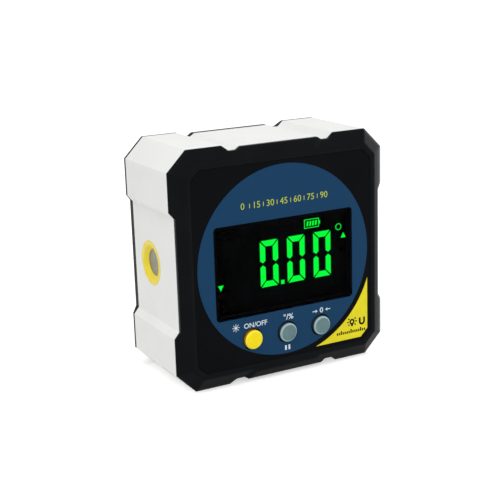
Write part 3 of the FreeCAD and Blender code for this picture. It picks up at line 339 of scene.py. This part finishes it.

# %% [markdown]
# ## The buttons
#
# The three buttons are soft-touch plastic, one yellow and two grey. Their bevelled edges get a
# painted highlight, a pale ring, and their sides get painted shade, darker than the cap. More
# pieces could make the ring, but the bevel is there in the solid: the colour follows the way the
# surface faces, so ring and side stay where the shape has them.

# %% Yellow and grey buttons
def button_finish(name, dark, light, painted_rim_highlight, side):
    material, tree, shader = new_finish(name)
    shader.inputs["Specular IOR Level"].default_value = 0.2
    vary_colour(tree, shader, noise(tree, 500), dark, light)
    facing = tree.nodes.new("ShaderNodeNewGeometry").outputs["True Normal"]
    # Painted highlight on the bevel ring and painted shade on the sides, by the way each surface faces.
    tint_by_facing(tree, shader, facing, "Y", -0.95, -0.75, painted_rim_highlight)
    tint_by_facing(tree, shader, facing, "Y", -0.6, -0.4, side)
    vary_gloss(tree, shader, noise(tree, 1500), 0.38, 0.5)
    add_relief(tree, shader, noise(tree, 6000, 2.0), 0.00002, 0.3)
    return material


# For each button the third colour is the painted highlight of the bevel ring and the fourth the painted shade
# of the sides.
put_on(button_finish("button_yellow", linear(248, 222, 4), linear(252, 230, 10), linear(255, 240, 70),
                     linear(196, 128, 0)), "button_power")
put_on(button_finish("button_grey", linear(94, 122, 126), linear(104, 132, 135), linear(158, 182, 184),
                     linear(52, 66, 72)), "button_hold", "button_zero")

# %% [markdown]
# ## Magnets and their rings
#
# A pressed magnet is plated with nickel and has faint scratches from handling. Noise that is
# drawn out along one direction makes such scratches. The ring in front of it is a warm yellow
# plastic, paler where it is worn.

# %% Magnets and rings
def nickel_plate():
    material, tree, shader = new_finish("nickel_plate")
    shader.inputs["Metallic"].default_value = 0.85
    scratches = noise(tree, 900, 4.0, (1.0, 8.0, 1.0))
    vary_colour(tree, shader, noise(tree, 300), linear(122, 121, 107), linear(144, 143, 129))
    vary_gloss(tree, shader, scratches, 0.28, 0.5)
    add_relief(tree, shader, scratches, 0.00002, 0.3)
    return material


def ring_yellow():
    material, tree, shader = new_finish("ring_yellow")
    vary_colour(tree, shader, noise(tree, 350), linear(236, 212, 34), linear(246, 224, 52))
    vary_gloss(tree, shader, noise(tree, 900), 0.36, 0.48)
    add_relief(tree, shader, noise(tree, 5000, 2.0), 0.00002, 0.3)
    return material


put_on(nickel_plate(), "magnet_left", "magnet_right", "magnet_base", "magnet_top")
put_on(ring_yellow(), "magnet_ring_left", "magnet_ring_right", "magnet_ring_base")

# %% [markdown]
# ## The board and what sits on it
#
# The board is green lacquer over copper traces. The traces are a pattern of bricks with wide
# joints, which looks like straight runs with pads between them. The chips are matt black with a
# fine grain, and the switches and the crystal are bright metal cans.

# %% Board, chips, cans and screws
def green_board():
    material, tree, shader = new_finish("green_board")
    place = tree.nodes.new("ShaderNodeTexCoord")
    turn = tree.nodes.new("ShaderNodeMapping")
    turn.inputs["Rotation"].default_value = (math.radians(90), 0, 0)
    runs = tree.nodes.new("ShaderNodeTexBrick")
    runs.inputs["Scale"].default_value = 260
    runs.inputs["Mortar Size"].default_value = 0.03
    runs.inputs["Color1"].default_value = linear(14, 82, 42)
    runs.inputs["Color2"].default_value = linear(18, 92, 48)
    runs.inputs["Mortar"].default_value = linear(40, 128, 70)
    tree.links.new(place.outputs["Object"], turn.inputs["Vector"])
    tree.links.new(turn.outputs["Vector"], runs.inputs["Vector"])
    tree.links.new(runs.outputs["Color"], shader.inputs["Base Color"])
    vary_gloss(tree, shader, noise(tree, 600), 0.24, 0.36)
    add_relief(tree, shader, runs.outputs["Fac"], 0.00003, 0.4)
    return material


def chip_black():
    material, tree, shader = new_finish("chip_black")
    vary_colour(tree, shader, noise(tree, 900), linear(24, 24, 25), linear(32, 32, 33))
    vary_gloss(tree, shader, noise(tree, 900), 0.5, 0.64)
    add_relief(tree, shader, noise(tree, 7000, 2.0), 0.00002, 0.4)
    return material


def bright_metal(name, dark, light, smooth, rough):
    material, tree, shader = new_finish(name)
    shader.inputs["Metallic"].default_value = 1.0
    drawn = noise(tree, 1200, 3.0, (1.0, 1.0, 6.0))
    vary_colour(tree, shader, noise(tree, 400), dark, light)
    vary_gloss(tree, shader, drawn, smooth, rough)
    add_relief(tree, shader, drawn, 0.00001, 0.25)
    return material


put_on(green_board(), "main_board")
put_on(chip_black(), "controller_chip", "tilt_sensor")
put_on(bright_metal("tin_can", linear(190, 190, 192), linear(206, 206, 208), 0.22, 0.36),
       "timing_crystal", "key_switches")
put_on(bright_metal("zinc_screw", linear(158, 160, 164), linear(178, 180, 184), 0.26, 0.42),
       "board_screws", "case_screws")
contact_metal = bright_metal("nickel_contact", linear(196, 192, 182), linear(212, 208, 198), 0.2, 0.34)
put_on(contact_metal, "contact_positive", "contact_negative", "contact_bridge", "contact_springs")

# %% [markdown]
# ## The cells
#
# Each cell wears a printed sleeve: dark over most of its length, with a copper coloured band at
# one end. A gradient along the cell could do it. A ramp with hard steps over the object's own X
# is simpler and keeps its edge sharp.

# %% Sleeves of the cells
def cell_sleeve(name, band_from, band_to):
    """A dark sleeve with a coppery band between two places along X, in metres."""
    material, tree, shader = new_finish(name)
    place = tree.nodes.new("ShaderNodeTexCoord")
    apart = tree.nodes.new("ShaderNodeSeparateXYZ")
    span = tree.nodes.new("ShaderNodeMapRange")
    span.inputs["From Min"].default_value = band_from
    span.inputs["From Max"].default_value = band_to
    ramp = tree.nodes.new("ShaderNodeValToRGB")
    ramp.color_ramp.interpolation = "CONSTANT"
    ramp.color_ramp.elements[0].color = linear(150, 96, 44)
    ramp.color_ramp.elements[1].position = 0.5
    ramp.color_ramp.elements[1].color = linear(28, 32, 42)
    tree.links.new(place.outputs["Object"], apart.inputs["Vector"])
    tree.links.new(apart.outputs["X"], span.inputs["Value"])
    tree.links.new(span.outputs["Result"], ramp.inputs["Fac"])
    tree.links.new(ramp.outputs["Color"], shader.inputs["Base Color"])
    shader.inputs["Metallic"].default_value = 0.6
    vary_gloss(tree, shader, noise(tree, 500), 0.22, 0.34)
    return material


put_on(cell_sleeve("sleeve_upper", -0.0233, 0.0), "battery_upper")
put_on(cell_sleeve("sleeve_lower", 0.0233, 0.0), "battery_lower")

# %% [markdown]
# ## Flat pieces: digits, symbols and print
#
# The lit segments and the print are all flat shapes that lie on a face that looks towards -Y. One
# helper turns a list of outlines in millimetres, measured from the middle of the face, into a
# thin mesh with a back, a front and sides. A curve with an extrusion would do too, but outlines
# in a mesh keep every corner as it is written.

# %% A helper that makes thin shapes
MM = 0.001
FACE_MIDDLE = 30.0


def thin_mesh(name, outlines, front, thick, body="housing", finish=None):
    """Makes flat shapes with their front at one depth along Y, and lets them ride on a body."""
    mesh = bpy.data.meshes.new(name)
    shape = bmesh.new()
    for outline in outlines:
        near = [shape.verts.new((x * MM, front * MM, (z + FACE_MIDDLE) * MM)) for x, z in outline]
        far = [shape.verts.new((v.co.x, (front + thick) * MM, v.co.z)) for v in near]
        shape.faces.new(near)
        shape.faces.new(list(reversed(far)))
        for i in range(len(near)):
            j = (i + 1) % len(near)
            shape.faces.new((near[i], far[i], far[j], near[j]))
    bmesh.ops.recalc_face_normals(shape, faces=shape.faces)
    shape.to_mesh(mesh)
    shape.free()
    return add_piece(name, mesh, body, finish)


def add_piece(name, mesh, body, finish):
    """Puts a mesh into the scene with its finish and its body."""
    mesh.materials.clear()
    mesh.materials.append(finish)
    piece = bpy.data.objects.new(name, mesh)
    bpy.context.scene.collection.objects.link(piece)
    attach(piece, body)
    print(name, "faces:", len(mesh.polygons))
    return piece


def moved(outline, across, up):
    return [(x + across, z + up) for x, z in outline]


def box_outline(left, right, low, high):
    return [(left, low), (right, low), (right, high), (left, high)]


def ring_outlines(across, up, inner, outer, steps=32):
    """A ring as a row of small four-sided shapes."""
    pieces = []
    for i in range(steps):
        turns = (math.tau * i / steps, math.tau * (i + 1) / steps)
        pieces.append([(across + radius * math.cos(turn), up + radius * math.sin(turn))
                       for radius, turn in ((inner, turns[0]), (outer, turns[0]),
                                            (outer, turns[1]), (inner, turns[1]))])
    return pieces


def bar(start, end, width):
    """A straight stroke between two points."""
    along = Vector((end[0] - start[0], end[1] - start[1])).normalized() * (width / 2)
    side = (-along.y, along.x)
    return [(start[0] + side[0], start[1] + side[1]), (start[0] - side[0], start[1] - side[1]),
            (end[0] - side[0], end[1] - side[1]), (end[0] + side[0], end[1] + side[1])]


# %% [markdown]
# ## The black border of the window
#
# The window rests on a ledge of the bezel, and a real one hides that ledge behind a border
# printed in black. The border is made from four thin strips just inside the sheet. Blackening the
# ledge itself would need a second material on the bezel, and the edge of the display behind it
# would still show.

# %% Printed border of the window
def border_black():
    material, tree, shader = new_finish("border_black")
    shader.inputs["Specular IOR Level"].default_value = 0.015
    vary_colour(tree, shader, noise(tree, 80), linear(2, 2, 4), linear(5, 5, 8))
    vary_gloss(tree, shader, noise(tree, 150), 0.2, 0.3)
    return material


WINDOW_HALF_WIDE = 19.5
WINDOW_LOW, WINDOW_HIGH = -12.5, 10.7
BORDER = 1.0
BORDER_FRONT, BORDER_THICK = -13.5, 0.03
inner_half = WINDOW_HALF_WIDE - BORDER
strips = [
    box_outline(-WINDOW_HALF_WIDE, -inner_half, WINDOW_LOW, WINDOW_HIGH),
    box_outline(inner_half, WINDOW_HALF_WIDE, WINDOW_LOW, WINDOW_HIGH),
    box_outline(-inner_half, inner_half, WINDOW_LOW, WINDOW_LOW + BORDER),
    box_outline(-inner_half, inner_half, WINDOW_HIGH - BORDER, WINDOW_HIGH),
]
thin_mesh("window_border", strips, BORDER_FRONT, BORDER_THICK, finish=border_black())

# %% [markdown]
# ## The reading on the display
#
# Each digit has seven segments, and a nought lights six of them. The segments meet at slanted
# joints with a narrow dark line between them, and the uprights end in points at half height. The
# segments give light themselves, so they are emissive: a strength of 1 shows the colour as it is
# written.

# %% Lit segments
def lit_green():
    material, tree, shader = new_finish("lit_green")
    shader.inputs["Roughness"].default_value = 0.5
    shader.inputs["Specular IOR Level"].default_value = 0.0
    shader.inputs["Emission Strength"].default_value = 1.0
    ramp = tree.nodes.new("ShaderNodeValToRGB")
    ramp.color_ramp.elements[0].color = linear(0, 246, 42)
    ramp.color_ramp.elements[1].color = linear(18, 255, 62)
    tree.links.new(noise(tree, 900), ramp.inputs["Fac"])
    tree.links.new(ramp.outputs["Color"], shader.inputs["Emission Color"])
    shader.inputs["Base Color"].default_value = (0.0, 0.05, 0.01, 1.0)
    return material


DIGIT_WIDE = 5.1
DIGIT_HIGH = 11.85
SEGMENT = 1.48
JOINT = 0.14


def nought():
    """The six segments of a nought, from the digit's lower left corner."""
    wide, high, seg, gap = DIGIT_WIDE, DIGIT_HIGH, SEGMENT, JOINT
    middle = high / 2
    top = [(gap * 2, high), (seg + gap, high - seg), (wide - seg - gap, high - seg), (wide - gap * 2, high)]
    left = [(0, high - gap * 2), (0, middle + 0.85), (seg / 2, middle + 0.28), (seg, middle + 0.85),
            (seg, high - seg - gap * 2)]
    right = [(wide - x, z) for x, z in reversed(left)]
    upper = [top, left, right]
    lower = [[(x, high - z) for x, z in reversed(outline)] for outline in upper]
    return upper + lower


SEGMENT_GREEN = lit_green()
PANEL_FRONT = -13.0
LIT_FRONT = PANEL_FRONT - 0.06
LIT_THICK = 0.05
DIGIT_LOW = -6.43
DIGIT_LEFT_EDGES = (-6.4, 1.32, 8.98)
digits = []
for left_edge in DIGIT_LEFT_EDGES:
    digits += [moved(outline, left_edge, DIGIT_LOW) for outline in nought()]
digits.append(box_outline(-0.6, 0.35, DIGIT_LOW, -5.4))
thin_mesh("reading_digits", digits, LIT_FRONT, LIT_THICK, finish=SEGMENT_GREEN)

# %% [markdown]
# ## The small signs on the display
#
# Above the digits stand a cell with its charge, a degree ring and an arrow for the direction of
# tilt, and there is a second arrow at the left. They are the same lit green, so they are made in
# the same way.

# %% Charge sign, degree ring and arrows
signs = ring_outlines(16.5, 5.85, 0.7, 0.87)
signs.append([(17.2, 2.85), (18.7, 2.85), (17.95, 4.2)])
signs.append([(-18.25, -4.0), (-17.5, -5.4), (-16.75, -4.0)])
CELL_LEFT, CELL_RIGHT, CELL_LOW, CELL_HIGH = 6.4, 10.7, 6.75, 9.05
STROKE = 0.17
signs += [
    box_outline(CELL_LEFT, CELL_RIGHT, CELL_HIGH - STROKE, CELL_HIGH),
    box_outline(CELL_LEFT, CELL_RIGHT, CELL_LOW, CELL_LOW + STROKE),
    box_outline(CELL_LEFT, CELL_LEFT + STROKE, CELL_LOW + STROKE, CELL_HIGH - STROKE),
    box_outline(CELL_RIGHT - STROKE, CELL_RIGHT, CELL_LOW + STROKE, CELL_HIGH - STROKE),
    box_outline(CELL_RIGHT + 0.06, CELL_RIGHT + 0.34, 7.45, 8.35),
]
CHARGE_LEFT, CHARGE_STEP, CHARGE_WIDE, CHARGE_LEAN = 7.05, 0.82, 0.48, 0.16
CHARGE_LOW, CHARGE_HIGH = 7.3, 8.5
for count in range(4):
    low_left = CHARGE_LEFT + count * CHARGE_STEP
    high_left = low_left + CHARGE_LEAN
    signs.append([(low_left, CHARGE_LOW), (low_left + CHARGE_WIDE, CHARGE_LOW),
                  (high_left + CHARGE_WIDE, CHARGE_HIGH), (high_left, CHARGE_HIGH)])
thin_mesh("reading_signs", signs, LIT_FRONT, LIT_THICK, finish=SEGMENT_GREEN)

# %% [markdown]
# ## Print on the dial
#
# Above the display runs a plain degree scale. Below it, each button has its sign: a lamp and
# ON/OFF for power, a degree and a percent sign for the units, two bars for hold and a nought
# between arrows for zero. Text objects give the numbers; they are turned into meshes so that they
# are pieces like the others. A capital letter is about 0.7 of its font's size.

# %% Ink and a helper for text
def ink(name, dark, light):
    material, tree, shader = new_finish(name)
    shader.inputs["Specular IOR Level"].default_value = 0.05
    vary_colour(tree, shader, noise(tree, 2500), dark, light)
    vary_gloss(tree, shader, noise(tree, 1500), 0.35, 0.5)
    return material


PALE_INK = ink("pale_ink", linear(216, 228, 236), linear(228, 238, 244))
LIME_INK = ink("lime_ink", linear(176, 190, 60), linear(192, 204, 76))
DARK_INK = ink("dark_ink", linear(6, 6, 6), linear(12, 12, 10))
PRINT_FRONT = -14.47
PRINT_THICK = 0.02
CAPITAL_SHARE = 0.7


def text_mesh(name, words, across, up, height, finish, weight=0.0, squeeze=1.0):
    """Text of a given height in millimetres about a point of the face."""
    font = bpy.data.curves.new(name, "FONT")
    font.body = words
    font.align_x = "CENTER"
    font.align_y = "CENTER"
    font.size = height * MM / CAPITAL_SHARE
    font.extrude = PRINT_THICK * MM / 2
    font.offset = weight * MM
    font.resolution_u = 3
    holder = bpy.data.objects.new(name, font)
    holder.matrix_world = (Matrix.Translation((across * MM, (PRINT_FRONT + PRINT_THICK / 2) * MM,
                                               (up + FACE_MIDDLE) * MM))
                           @ Matrix.Rotation(math.radians(90), 4, "X") @ Matrix.Diagonal((squeeze, 1, 1, 1)))
    bpy.context.scene.collection.objects.link(holder)
    bpy.context.view_layer.update()
    mesh = bpy.data.meshes.new_from_object(holder.evaluated_get(bpy.context.evaluated_depsgraph_get()))
    mesh.transform(holder.matrix_world)
    bpy.data.objects.remove(holder)
    return add_piece(name, mesh, "housing", finish)


# %% Degree scale above the display
SCALE_UP = 15.05
SCALE_LEFT = -11.6
SCALE_STEP = 3.83
for count, degrees in enumerate(range(0, 91, 15)):
    text_mesh(f"scale_number_{count}", str(degrees), SCALE_LEFT + count * SCALE_STEP, SCALE_UP, 1.6, LIME_INK)
ticks = []
for count in range(6):
    middle = SCALE_LEFT + (count + 0.5) * SCALE_STEP
    ticks.append(box_outline(middle - 0.09, middle + 0.09, SCALE_UP - 0.55, SCALE_UP + 0.55))
thin_mesh("scale_ticks", ticks, PRINT_FRONT, PRINT_THICK, finish=LIME_INK)

# %% Signs at the buttons
ZERO_ACROSS = 10.2
ZERO_UP = -14.85
text_mesh("sign_on_off", "ON/OFF", -9.0, -15.05, 1.27, PALE_INK, 0.012)
text_mesh("sign_units", "°/%", 0.4, -14.8, 1.4, PALE_INK, 0.02, 1.1)
text_mesh("sign_zero", "0", ZERO_ACROSS, ZERO_UP, 1.35, PALE_INK, 0.02, 1.1)


def sun_sign(across, up, reach):
    """A lamp sign: a small star with eight rays."""
    core, ray_start, ray_wide = 0.28, 0.3, 0.13
    rays = []
    for count in range(8):
        turn = math.tau * count / 8
        step = (math.cos(turn), math.sin(turn))
        rays.append(bar((across + step[0] * ray_start, up + step[1] * ray_start),
                        (across + step[0] * reach, up + step[1] * reach), ray_wide))
    rays.append([(across + core * math.cos(math.tau * i / 12), up + core * math.sin(math.tau * i / 12))
                 for i in range(12)])
    return rays


HOLD_LOW, HOLD_HIGH = -23.4, -22.15
ARROW_GAP, ARROW_HEAD, ARROW_HALF, ARROW_TAIL = 1.15, 0.62, 0.42, 1.5
marks = sun_sign(-14.5, -14.95, 1.05)
marks += [box_outline(-0.75, -0.25, HOLD_LOW, HOLD_HIGH), box_outline(0.25, 0.75, HOLD_LOW, HOLD_HIGH)]
for side in (-1, 1):
    tip = ZERO_ACROSS + side * ARROW_GAP
    foot = tip + side * ARROW_HEAD
    marks.append(bar((tip + side * ARROW_TAIL, ZERO_UP), (tip + side * 0.5, ZERO_UP), 0.2))
    marks.append([(tip, ZERO_UP), (foot, ZERO_UP - ARROW_HALF), (foot, ZERO_UP + ARROW_HALF)])
thin_mesh("signs_at_buttons", marks, PRINT_FRONT, PRINT_THICK, finish=PALE_INK)

# %% [markdown]
# ## Print on the yellow corner
#
# The corner has a lamp and a horseshoe magnet, which are common signs, and a short row of ticks
# below them. The horseshoe is half a ring with two legs.

# %% Lamp, horseshoe and ticks
def lamp_sign(across, up):
    """A bulb with its socket and three short rays at each side."""
    inner, outer, ray_start, ray_end = 0.34, 0.78, 1.0, 1.5
    parts = ring_outlines(across, up, inner, outer, 24)
    parts.append(box_outline(across - inner, across + inner, up - 1.2, up - 0.7))
    for turn in (0, 40, 140, 180, 220, 320):
        step = (math.cos(math.radians(turn)), math.sin(math.radians(turn)))
        parts.append(bar((across + step[0] * ray_start, up + step[1] * ray_start),
                         (across + step[0] * ray_end, up + step[1] * ray_end), inner))
    return parts


def horseshoe_sign(across, up):
    """A half ring that opens upwards, with two straight legs."""
    inner, outer, leg = 0.42, 0.95, 1.1
    steps = 12
    parts = []
    for count in range(steps):
        turns = [math.pi + math.pi * (count + part) / steps for part in (0, 1)]
        parts.append([(across + radius * math.cos(turn), up + radius * math.sin(turn))
                      for radius, turn in ((inner, turns[0]), (outer, turns[0]),
                                           (outer, turns[1]), (inner, turns[1]))])
    for side in (-1, 1):
        left, right = sorted((across + side * inner, across + side * outer))
        parts.append(box_outline(left, right, up, up + leg))
    return parts


TICK_LEFT, TICK_STEP, TICK_WIDE = 14.8, 0.6, 0.38
TICK_FOOT, TICK_TOP, LONG_TICK_TOP = -22.7, -22.05, -21.65
corner_marks = lamp_sign(19.5, -19.7) + horseshoe_sign(22.6, -20.1)
for count in range(15):
    left = TICK_LEFT + count * TICK_STEP
    top = LONG_TICK_TOP if count % 5 == 2 else TICK_TOP
    corner_marks.append(box_outline(left, left + TICK_WIDE, TICK_FOOT, top))
thin_mesh("signs_on_corner", corner_marks, PRINT_FRONT, PRINT_THICK, finish=DARK_INK)

# %% [markdown]
# ## Contact springs
#
# The solid springs are faceted to keep them light. The eye expects a round wire, so a curve with
# a round bevel follows the same cone, with a flat turn at each end as on a real spring, and
# stands for the solid.

# %% Round wire springs
SPRING_TURNS = 2.5
SPRING_WIRE = 0.25
SPRING_BASE, SPRING_TIP = 2.6, 1.6
CONTACT_FACE, CELL_END = 23.45, 21.2
CELL_DEPTH, CELL_UP = 8.0, 5.6


def spring_wire(name, up, side):
    """A cone of round wire that narrows from its contact to its cell."""
    curve = bpy.data.curves.new(name, "CURVE")
    curve.dimensions = "3D"
    curve.bevel_depth = SPRING_WIRE * MM
    curve.bevel_resolution = 3
    line = curve.splines.new("POLY")
    steps = 90
    line.points.add(steps)
    rise = CONTACT_FACE - CELL_END - 2 * SPRING_WIRE
    for i in range(steps + 1):
        part = i / steps
        radius = SPRING_BASE + (SPRING_TIP - SPRING_BASE) * part
        turn = math.tau * SPRING_TURNS * part
        along = side * (CONTACT_FACE - SPRING_WIRE - rise * (part * part * (3 - 2 * part)))
        line.points[i].co = (along * MM, (CELL_DEPTH + radius * math.cos(turn)) * MM,
                             (FACE_MIDDLE + up + radius * math.sin(turn)) * MM, 1)
    holder = bpy.data.objects.new(name, curve)
    bpy.context.scene.collection.objects.link(holder)
    mesh = bpy.data.meshes.new_from_object(holder.evaluated_get(bpy.context.evaluated_depsgraph_get()))
    bpy.data.objects.remove(holder)
    for polygon in mesh.polygons:
        polygon.use_smooth = True
    return add_piece(name, mesh, "housing", contact_metal)


right_spring = spring_wire("spring_right", CELL_UP, 1)
left_spring = spring_wire("spring_left", -CELL_UP, -1)
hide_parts("contact_springs")
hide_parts("contact_springs")

# %% [markdown]
# ## Floor and background
#
# The gauge stands on a white floor that runs on into a white background. The floor is one large
# disc. It takes the soft shadow of the gauge, and a little glow that only the camera and the
# mirror rays see lifts it to white without more light on the gauge.

# %% Floor and world
def seen_directly(tree):
    """1 for rays from the camera and for mirrored or refracted ones."""
    path = tree.nodes.new("ShaderNodeLightPath")
    first = tree.nodes.new("ShaderNodeMath")
    second = tree.nodes.new("ShaderNodeMath")
    first.operation = "MAXIMUM"
    second.operation = "MAXIMUM"
    tree.links.new(path.outputs["Is Camera Ray"], first.inputs[0])
    tree.links.new(path.outputs["Is Glossy Ray"], first.inputs[1])
    tree.links.new(first.outputs["Value"], second.inputs[0])
    tree.links.new(path.outputs["Is Transmission Ray"], second.inputs[1])
    return second.outputs["Value"]


def floor_white():
    material, tree, shader = new_finish("floor_white")
    vary_colour(tree, shader, noise(tree, 3), linear(236, 236, 236), linear(238, 238, 238))
    shader.inputs["Roughness"].default_value = 0.9
    shader.inputs["Specular IOR Level"].default_value = 0.0
    shader.inputs["Emission Color"].default_value = (1, 1, 1, 1)
    glow = tree.nodes.new("ShaderNodeMath")
    glow.operation = "MULTIPLY"
    glow.inputs[1].default_value = 0.48
    tree.links.new(seen_directly(tree), glow.inputs[0])
    tree.links.new(glow.outputs["Value"], shader.inputs["Emission Strength"])
    return material


floor_mesh = bpy.data.meshes.new("studio_floor")
disc = bmesh.new()
FLOOR_RADIUS = 6.0
bmesh.ops.create_circle(disc, cap_ends=True, segments=96, radius=FLOOR_RADIUS)
disc.to_mesh(floor_mesh)
disc.free()
floor_mesh.materials.append(floor_white())
studio_floor = bpy.data.objects.new("studio_floor", floor_mesh)
bpy.context.scene.collection.objects.link(studio_floor)

world = bpy.data.worlds.new("studio_world")
bpy.context.scene.world = world
world.use_nodes = True
backdrop = world.node_tree
ambient = backdrop.nodes["Background"]
ambient.inputs["Color"].default_value = (1, 1, 1, 1)
lift = backdrop.nodes.new("ShaderNodeMapRange")
SOFT_LIGHT_ALL_ROUND = 0.62
lift.inputs["To Min"].default_value = SOFT_LIGHT_ALL_ROUND
lift.inputs["To Max"].default_value = 1.0
backdrop.links.new(seen_directly(backdrop), lift.inputs["Value"])
backdrop.links.new(lift.outputs["Result"], ambient.inputs["Strength"])
print("floor radius:", FLOOR_RADIUS, "m")

# %% [markdown]
# ## Lamps
#
# A large soft lamp above and to the left is the main light, as the photograph's bright top and
# slightly darker side show. A tall narrow one at the right lights the right bevel, whose pale sheen
# is also painted into the bezel's colour, and a weak one in front evens out the face. Their power is
# set so that a colour renders about as it is written.

# %% Soft lamps
def soft_lamp(name, place, aim, wide, high, watts):
    light = bpy.data.lights.new(name, "AREA")
    light.shape = "RECTANGLE"
    light.size = wide
    light.size_y = high
    light.energy = watts
    lamp = bpy.data.objects.new(name, light)
    lamp.location = place
    lamp.rotation_euler = (Vector(aim) - Vector(place)).to_track_quat("-Z", "Y").to_euler()
    bpy.context.scene.collection.objects.link(lamp)
    return lamp


soft_lamp("lamp_above", (-0.35, -0.25, 0.9), (0, 0, 0.03), 0.7, 0.7, 3.4)
soft_lamp("lamp_right", (0.7, 0.05, 0.1), (0, 0, 0.03), 0.25, 0.6, 1.6)
soft_lamp("lamp_front", (0.15, -0.9, 0.35), (0, 0, 0.03), 0.8, 0.8, 1.9)

settings = bpy.context.scene.view_settings
settings.view_transform = "Standard"
